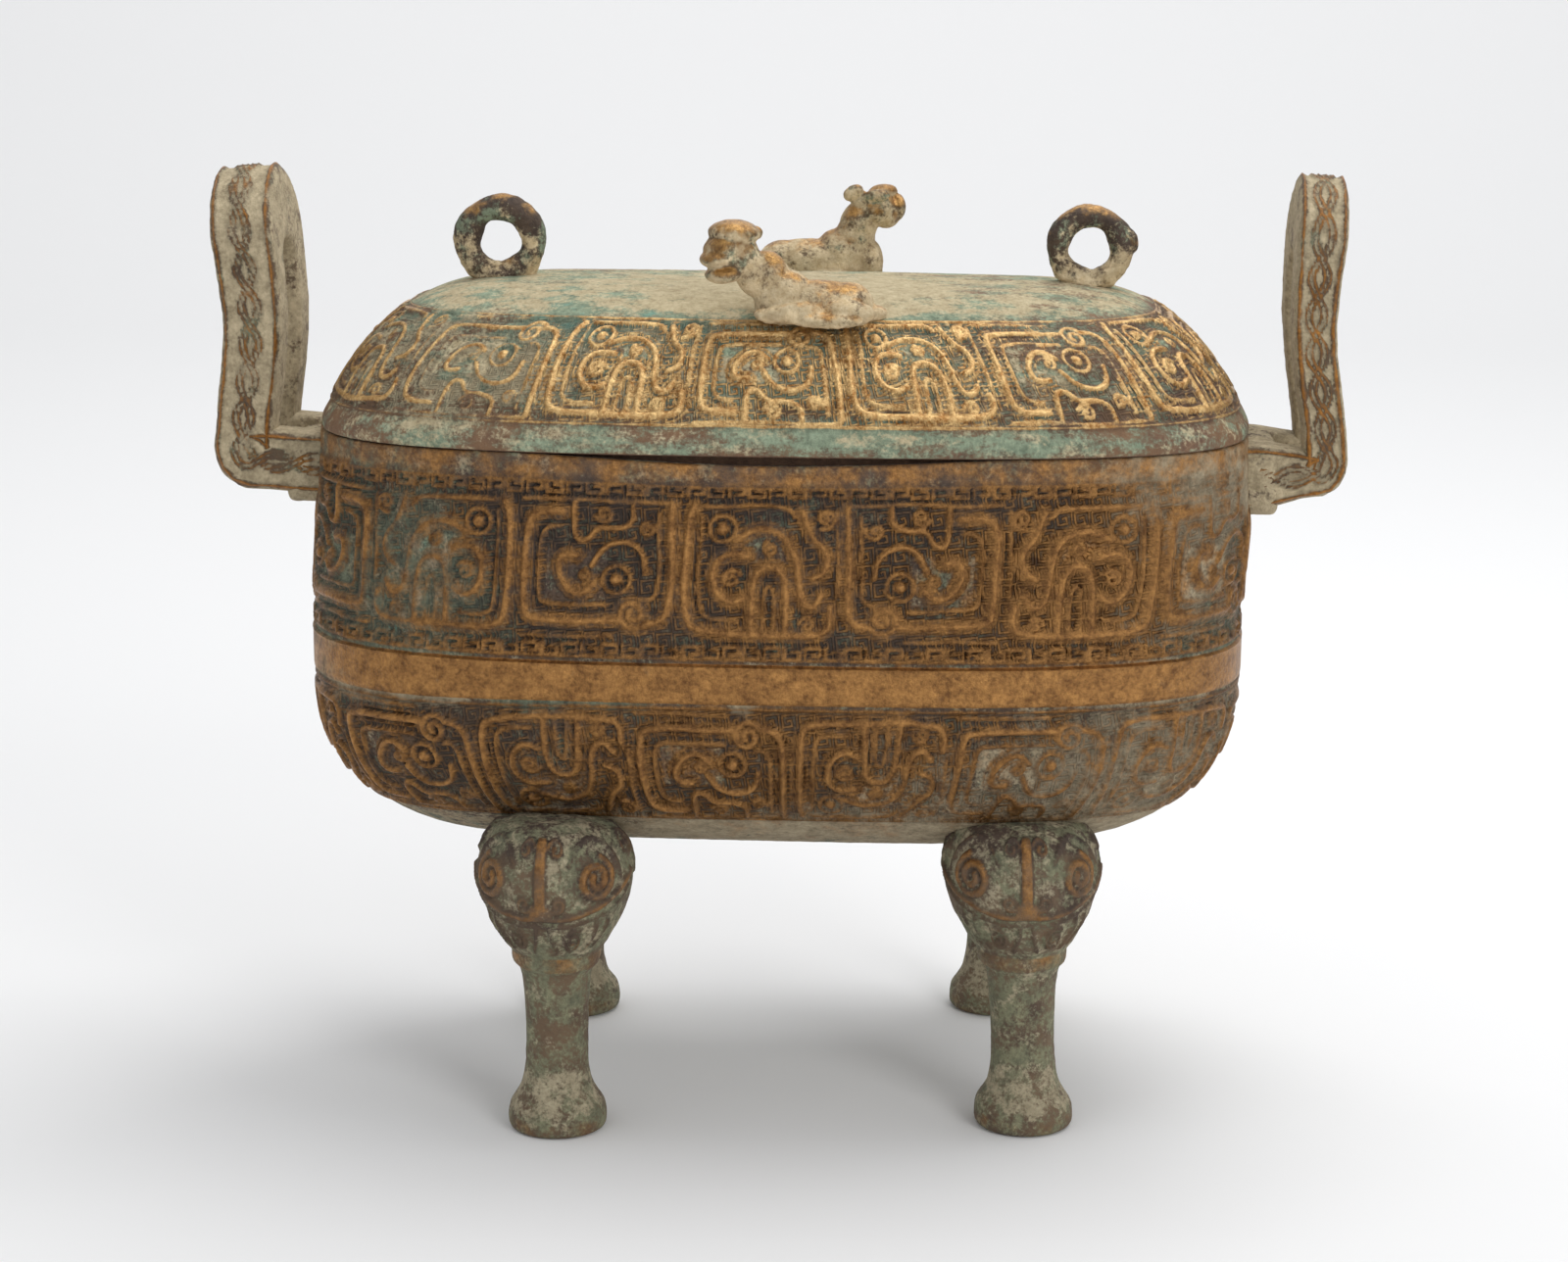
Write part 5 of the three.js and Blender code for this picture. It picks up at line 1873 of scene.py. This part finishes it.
def finish_fused(
    piece: bpy.types.Object, seed: int, rough: float, tones: dict[Carried, tuple[float, float]]
) -> None:
    """Roughens a fused piece along its normals and writes its fields. Proud places, where broad
    noise is high or the normal points up, count as relief, which brings more gold and keeps the painted
    recess shade off them, so the sides come out darker than the tops.

    Args:
        piece: the fused object.
        seed: picks the noise.
        rough: height of the roughness in millimetres.
        tones: for each field, its level on top and its level near the foot.
    """
    mesh = piece.data
    count = len(mesh.vertices)
    places = np.empty(count * 3, np.float32)
    normals = np.empty(count * 3, np.float32)
    mesh.vertices.foreach_get("co", places)
    mesh.vertex_normals.foreach_get("vector", normals)
    points = places.reshape(-1, 3).astype(float) / MM
    facing = normals.reshape(-1, 3).astype(float)
    foot = points[:, 2].min()
    share = np.clip((points[:, 2] - foot) / (points[:, 2].max() - foot), 0.0, 1.0)
    base = smooth_step(share, 0.35, 0.12)
    bumps = (patchy(points, 2.6, seed) - 0.5) * rough * (1.0 + 1.6 * base)
    bumps = bumps + 0.5 * (patchy(points, 9.0, seed + 3, 2) - 0.5)
    points = points + facing * bumps[:, None]
    mesh.vertices.foreach_set("co", (points * MM).astype(np.float32).ravel())
    mesh.update()
    for old in [a.name for a in mesh.attributes if a.name in {kind.value for kind in Carried}]:
        mesh.attributes.remove(mesh.attributes[old])
    fields = blank_fields((count,))
    for kind, (top, low) in tones.items():
        fields[kind] = low + (top - low) * smooth_step(share, 0.2, 0.75)
    proud = 0.35 + 0.5 * facing[:, 2] + 1.4 * (patchy(points, 7.0, seed + 7) - 0.5)
    fields[Carried.RELIEF] = np.clip(proud, 0.0, 1.0)
    write_fields(mesh, fields)


@dataclass
class Ring:
    """A thick cast ring that stands on the lid on a rough flared foot."""

    side: int
    lid: Lid
    centre_x: float
    radius: float = 12.7
    tube: float = 4.9
    depth: float = 5.4
    centre_rise: float = 14.0
    spur: bool = False

    def hoop(self, centre_z: float) -> Skin:
        """A torus about Y whose tube is flattened and wanders a little, as it was filed by
        hand: rows go round the hoop and columns round the tube."""
        around = np.linspace(0.0, 2.0 * math.pi, 96, endpoint=False)[:, None]
        tube = np.linspace(0.0, 2.0 * math.pi, 36, endpoint=False)[None, :]
        wander = 0.35 * np.sin(3.0 * around + self.side) + 0.25 * np.sin(5.0 * around)
        reach = self.radius + (self.tube + wander) * np.cos(tube)
        points = np.stack(
            [
                self.centre_x + reach * np.cos(around),
                (self.depth + 0.4 * wander) * np.sin(tube) * np.ones_like(around),
                centre_z + reach * np.sin(around),
            ],
            -1,
        )
        return Skin(points, blank_fields(points.shape[:2]), np.zeros(37), np.zeros(97), wrap_rows=True)

    def build(self, material: bpy.types.Material) -> None:
        """Fuses the hoop with its foot and, on the right ring, a small spur."""
        top = float(self.lid.top_at(self.centre_x, 0.0))
        centre_z = top + self.centre_rise
        skins = [
            self.hoop(centre_z),
            Ball((self.centre_x, 0.0, top + 0.4), (9.6, 6.4, 2.2)).skin(),
            Ball((self.centre_x + 5.2, 0.3, top + 2.4), (4.2, 4.6, 3.2)).skin(),
            Ball((self.centre_x - 5.0, -0.3, top + 2.4), (4.0, 4.6, 3.2)).skin(),
        ]
        if self.spur:
            spur = (self.centre_x + self.radius + 3.4, -1.0, centre_z + 3.0)
            skins.append(Ball(spur, (2.6, 2.8, 4.6), 0.0, -14.0).skin())
        name = "ring_right" if self.side > 0 else "ring_left"
        piece = fused(name + "_hoop", skins, 0.55, 3)
        tones = {
            Carried.GILT: (0.6, 0.34),
            Carried.CRUST: (0.52, 0.74),
            Carried.GREEN: (0.56, 0.56),
            Carried.DARK: (0.66, 0.6),
        }
        finish_fused(piece, 50 + self.side, 0.7, tones)
        dress(piece, material, Slot.FITTINGS, name)


@dataclass
class Beast:
    """A small lying beast with its neck raised, laid out along X with its head at -X. The
    front one is blunt and slit-mouthed; the back one, turned half round, is short and eared.
    The lift raises the body's forms alone."""

    node: str
    lid: Lid
    centre_x: float = 13.2
    centre_y: float = -55.0
    turned: bool = False
    lift: float = 0.0
    forms: tuple[Ball, ...] = (
        Ball((3.0, 0.5, 3.2), (19.0, 10.4, 9.2)),
        Ball((13.0, 0.5, 2.8), (10.0, 10.2, 8.8)),
        Ball((-9.5, -0.4, 5.4), (11.0, 9.8, 11.0)),
        Ball((-14.6, -0.6, 12.0), (8.0, 7.8, 11.0), 0.0, -14.0),
    )
    head: tuple[Ball, ...] = (
        Ball((-27.2, -2.4, 29.0), (9.4, 9.6, 4.8), 14.0, 2.0),
        Ball((-29.8, -4.0, 24.0), (8.6, 8.8, 5.6), 20.0, -12.0),
        Ball((-32.8, -6.0, 20.4), (6.6, 8.2, 3.6), 20.0, -8.0),
        Ball((-30.6, -5.4, 14.8), (7.0, 7.6, 3.4), 20.0, -6.0),
        Ball((-25.0, -2.6, 20.4), (7.0, 8.2, 8.4)),
        Ball((-20.6, -1.6, 15.0), (6.6, 7.4, 9.4), 0.0, -22.0),
        Ball((-20.4, 5.8, 28.4), (3.4, 2.4, 2.6), -30.0, 8.0),
    )
    horned_head: tuple[Ball, ...] = (
        Ball((-22.6, -1.6, 28.2), (8.2, 8.2, 7.0), 10.0, 0.0),
        Ball((-26.6, -3.2, 25.0), (5.6, 6.6, 4.8), 12.0, 0.0),
        Ball((-31.6, -4.4, 28.4), (2.8, 5.2, 5.0), 14.0, 0.0),
        Ball((-25.4, -4.4, 34.4), (5.8, 4.2, 2.8), 8.0, 4.0),
        Ball((-14.4, 3.0, 34.4), (4.4, 2.8, 3.0), -14.0, 30.0),
        Ball((-17.6, 2.0, 31.2), (4.4, 3.4, 3.8), 0.0, 30.0),
        Ball((-23.4, 4.6, 33.4), (5.2, 3.2, 2.6), -10.0, 4.0),
        Ball((-16.4, -0.2, 22.0), (7.4, 7.0, 9.6), 0.0, -16.0),
        Ball((-20.6, -0.4, 7.4), (5.6, 8.0, 8.8)),
    )
    limbs: tuple[Ball, ...] = (
        Ball((-2.0, -9.0, 1.4), (14.0, 3.8, 4.0), 6.0, 0.0),
        Ball((-14.0, -7.8, 0.6), (6.0, 3.6, 3.0), 10.0, 0.0),
        Ball((13.0, -9.0, 1.6), (10.5, 4.4, 5.0), -8.0, 0.0),
        Ball((6.0, -12.6, -1.0), (14.0, 2.6, 2.4), -6.0, 0.0),
        Ball((-2.0, 8.8, 1.4), (13.0, 3.6, 4.0), -6.0, 0.0),
        Ball((13.0, 8.8, 1.6), (10.5, 4.4, 5.0), 8.0, 0.0),
        Ball((22.0, 0.6, 0.6), (5.6, 6.0, 3.2)),
        Ball((5.0, 0.4, 10.2), (12.0, 2.0, 1.8)),
        Ball((-5.0, 0.4, 11.6), (2.0, 1.8, 2.4)),
    )

    def build(self, material: bpy.types.Material) -> None:
        """Fuses the forms, sets them on the lid and roughens them."""
        turn = -1.0 if self.turned else 1.0
        ground = float(self.lid.top_at(self.centre_x, self.centre_y))
        skins = []
        face = self.horned_head if self.turned else self.head
        for form in (*self.forms, *face, *self.limbs):
            skin = form.skin()
            raised = self.lift if form in self.forms else 0.0
            place = np.array([self.centre_x, self.centre_y, ground + raised])
            skin.points = skin.points * np.array([turn, turn, 1.0]) + place
            low = self.lid.top_at(skin.points[..., 0], skin.points[..., 1]) - 1.2
            skin.points[..., 2] = np.maximum(skin.points[..., 2], low)
            skins.append(skin)
        piece = fused(self.node + "_figure", skins, 0.55, 4)
        tones = {
            Carried.GILT: (0.74, 0.5),
            Carried.CRUST: (0.72, 0.84),
            Carried.GREEN: (0.66, 0.6),
            Carried.DARK: (0.42, 0.4),
        }
        finish_fused(piece, 60 + int(self.turned), 0.55, tones)
        dress(piece, material, Slot.FITTINGS, self.node)


# Studio


@dataclass(frozen=True)
class Camera:
    """The photograph's viewpoint in millimetres and radians."""

    x: float = 75.7
    y: float = -1243.5
    z: float = 445.6
    yaw: float = 0.06
    pitch: float = 0.2154
    roll: float = 0.005
    lens: float = 76.5
    sensor: float = 36.0

    def build(self) -> bpy.types.Object:
        """Looks along +Y turned by the yaw to the left and by the pitch down."""
        data = bpy.data.cameras.new("view")
        data.lens = self.lens
        data.sensor_width = self.sensor
        data.clip_start, data.clip_end = 0.05, 20.0
        right = np.array([math.cos(self.yaw), math.sin(self.yaw), 0.0])
        level = np.array([-math.sin(self.yaw), math.cos(self.yaw), 0.0])
        up = np.array([0.0, 0.0, 1.0])
        forward = level * math.cos(self.pitch) - up * math.sin(self.pitch)
        top = level * math.sin(self.pitch) + up * math.cos(self.pitch)
        axis_x = math.cos(self.roll) * right + math.sin(self.roll) * top
        axis_y = -math.sin(self.roll) * right + math.cos(self.roll) * top
        turn = Matrix(np.stack([axis_x, axis_y, -forward], -1).tolist()).to_4x4()
        camera = bpy.data.objects.new("view", data)
        camera.matrix_world = Matrix.Translation(Vector((self.x, self.y, self.z)) * MM) @ turn
        bpy.context.scene.collection.objects.link(camera)
        bpy.context.scene.camera = camera
        return camera


@dataclass(frozen=True)
class Lamp:
    """A soft square light: where it hangs, what it aims at, its side and its power."""

    name: str
    place: tuple[float, float, float]
    aim: tuple[float, float, float]
    side: float
    watts: float
    colour: str = "#FFFFFF"

    def build(self) -> None:
        """Hangs the light and turns it to its aim."""
        data = bpy.data.lights.new(self.name, "AREA")
        data.shape = "SQUARE"
        data.size = self.side
        data.energy = self.watts
        data.color = linear(self.colour)[:3]
        lamp = bpy.data.objects.new(self.name, data)
        lamp.location = self.place
        lamp.rotation_euler = (Vector(self.aim) - Vector(self.place)).to_track_quat("-Z", "Y").to_euler()
        bpy.context.scene.collection.objects.link(lamp)


@dataclass(frozen=True)
class Studio:
    """A pale paper sweep, an even pale surround and soft light from above, in metres."""

    half_width: float = 6.0
    front_y: float = -3.0
    back_y: float = 2.2
    curve: float = 1.2
    wall: float = 3.0
    paper: str = "#EDEDED"
    surround: str = "#F2F3F5"
    surround_strength: float = 0.72
    lamps: tuple[Lamp, ...] = (
        Lamp("overhead", (0.35, 0.3, 1.6), (0.0, 0.0, 0.15), 1.0, 12.0),
        Lamp("front", (1.3, -1.8, 1.2), (0.0, 0.0, 0.2), 0.8, 14.5),
        Lamp("backdrop", (0.0, 1.5, 2.9), (0.0, 3.4, 1.5), 2.4, 31.0),
    )

    def sweep(self) -> bpy.types.Object:
        """The paper: level floor, a quarter circle, then an upright wall, carried along X."""
        turn = np.linspace(0.0, 0.5 * math.pi, 24)
        bend_y = self.back_y + self.curve * np.sin(turn)
        line_y = np.concatenate([[self.front_y], bend_y, [self.back_y + self.curve]])
        line_z = np.concatenate([[0.0], self.curve * (1.0 - np.cos(turn)), [self.wall]])
        side = np.array([-self.half_width, self.half_width])
        points = np.stack(
            [
                np.broadcast_to(side, (len(line_y), 2)),
                np.broadcast_to(line_y[:, None], (len(line_y), 2)),
                np.broadcast_to(line_z[:, None], (len(line_y), 2)),
            ],
            -1,
        )
        fields = blank_fields(points.shape[:2])
        skin = Skin(points / MM, fields, np.zeros(2), np.zeros(len(line_y)), wrap_columns=False)
        floor = mesh_of("paper_sweep", [skin])
        material = bpy.data.materials.new("matt_white_paper")
        material.use_nodes = True
        shader = material.node_tree.nodes["Principled BSDF"]
        shader.inputs["Base Color"].default_value = linear(self.paper)
        shader.inputs["Roughness"].default_value = 0.9
        floor.data.materials.append(material)
        return floor

    def build(self) -> None:
        """Sets the surround, the paper, the lights and the way tones are shown."""
        scene = bpy.context.scene
        world = bpy.data.worlds.new("surround")
        scene.world = world
        world.use_nodes = True
        background = world.node_tree.nodes["Background"]
        background.inputs["Color"].default_value = linear(self.surround)
        background.inputs["Strength"].default_value = self.surround_strength
        self.sweep()
        for lamp in self.lamps:
            lamp.build()
        scene.view_settings.view_transform = "Standard"


def main() -> None:
    """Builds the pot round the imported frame, piece by piece, then the studio."""
    logging.basicConfig(level=logging.INFO, format="%(message)s")
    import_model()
    plan = Plan(PlanSizes())
    bronze = BronzeMaterial(POT_FINISH).build()
    lid_bronze = BronzeMaterial(LID_FINISH).build()
    leg_bronze = BronzeMaterial(LEG_FINISH).build()
    handle_bronze = BronzeMaterial(HANDLE_FINISH).build()
    fitting_bronze = BronzeMaterial(FITTING_FINISH).build()
    pot = Pot(plan)
    pot.build(bronze)
    lid = Lid(plan)
    lid.build(lid_bronze)
    for place in LegPlace:
        Leg(place, pot).build(leg_bronze)
    Handle(1, thickness=15.8, lean=0.8, shift=-0.6, arm_ends=(32.0, 6.0)).build(handle_bronze)
    left_handle = Handle(
        -1, thickness=21.8, lean=4.2, shift=-1.8, arm_ends=(40.0, 20.0), arm_height=22.6, root_z=236.4
    )
    left_handle.build(handle_bronze)
    Ring(-1, lid, -106.2, radius=12.6, centre_rise=12.8).build(fitting_bronze)
    Ring(1, lid, 114.0, radius=11.9, tube=4.3, centre_rise=13.2, spur=True).build(fitting_bronze)
    Beast("beast_front", lid).build(fitting_bronze)
    Beast("beast_back", lid, centre_x=9.6, centre_y=55.0, turned=True, lift=4.0).build(fitting_bronze)
    Studio().build()
    Camera().build()


if __name__ == "__main__":
    main()
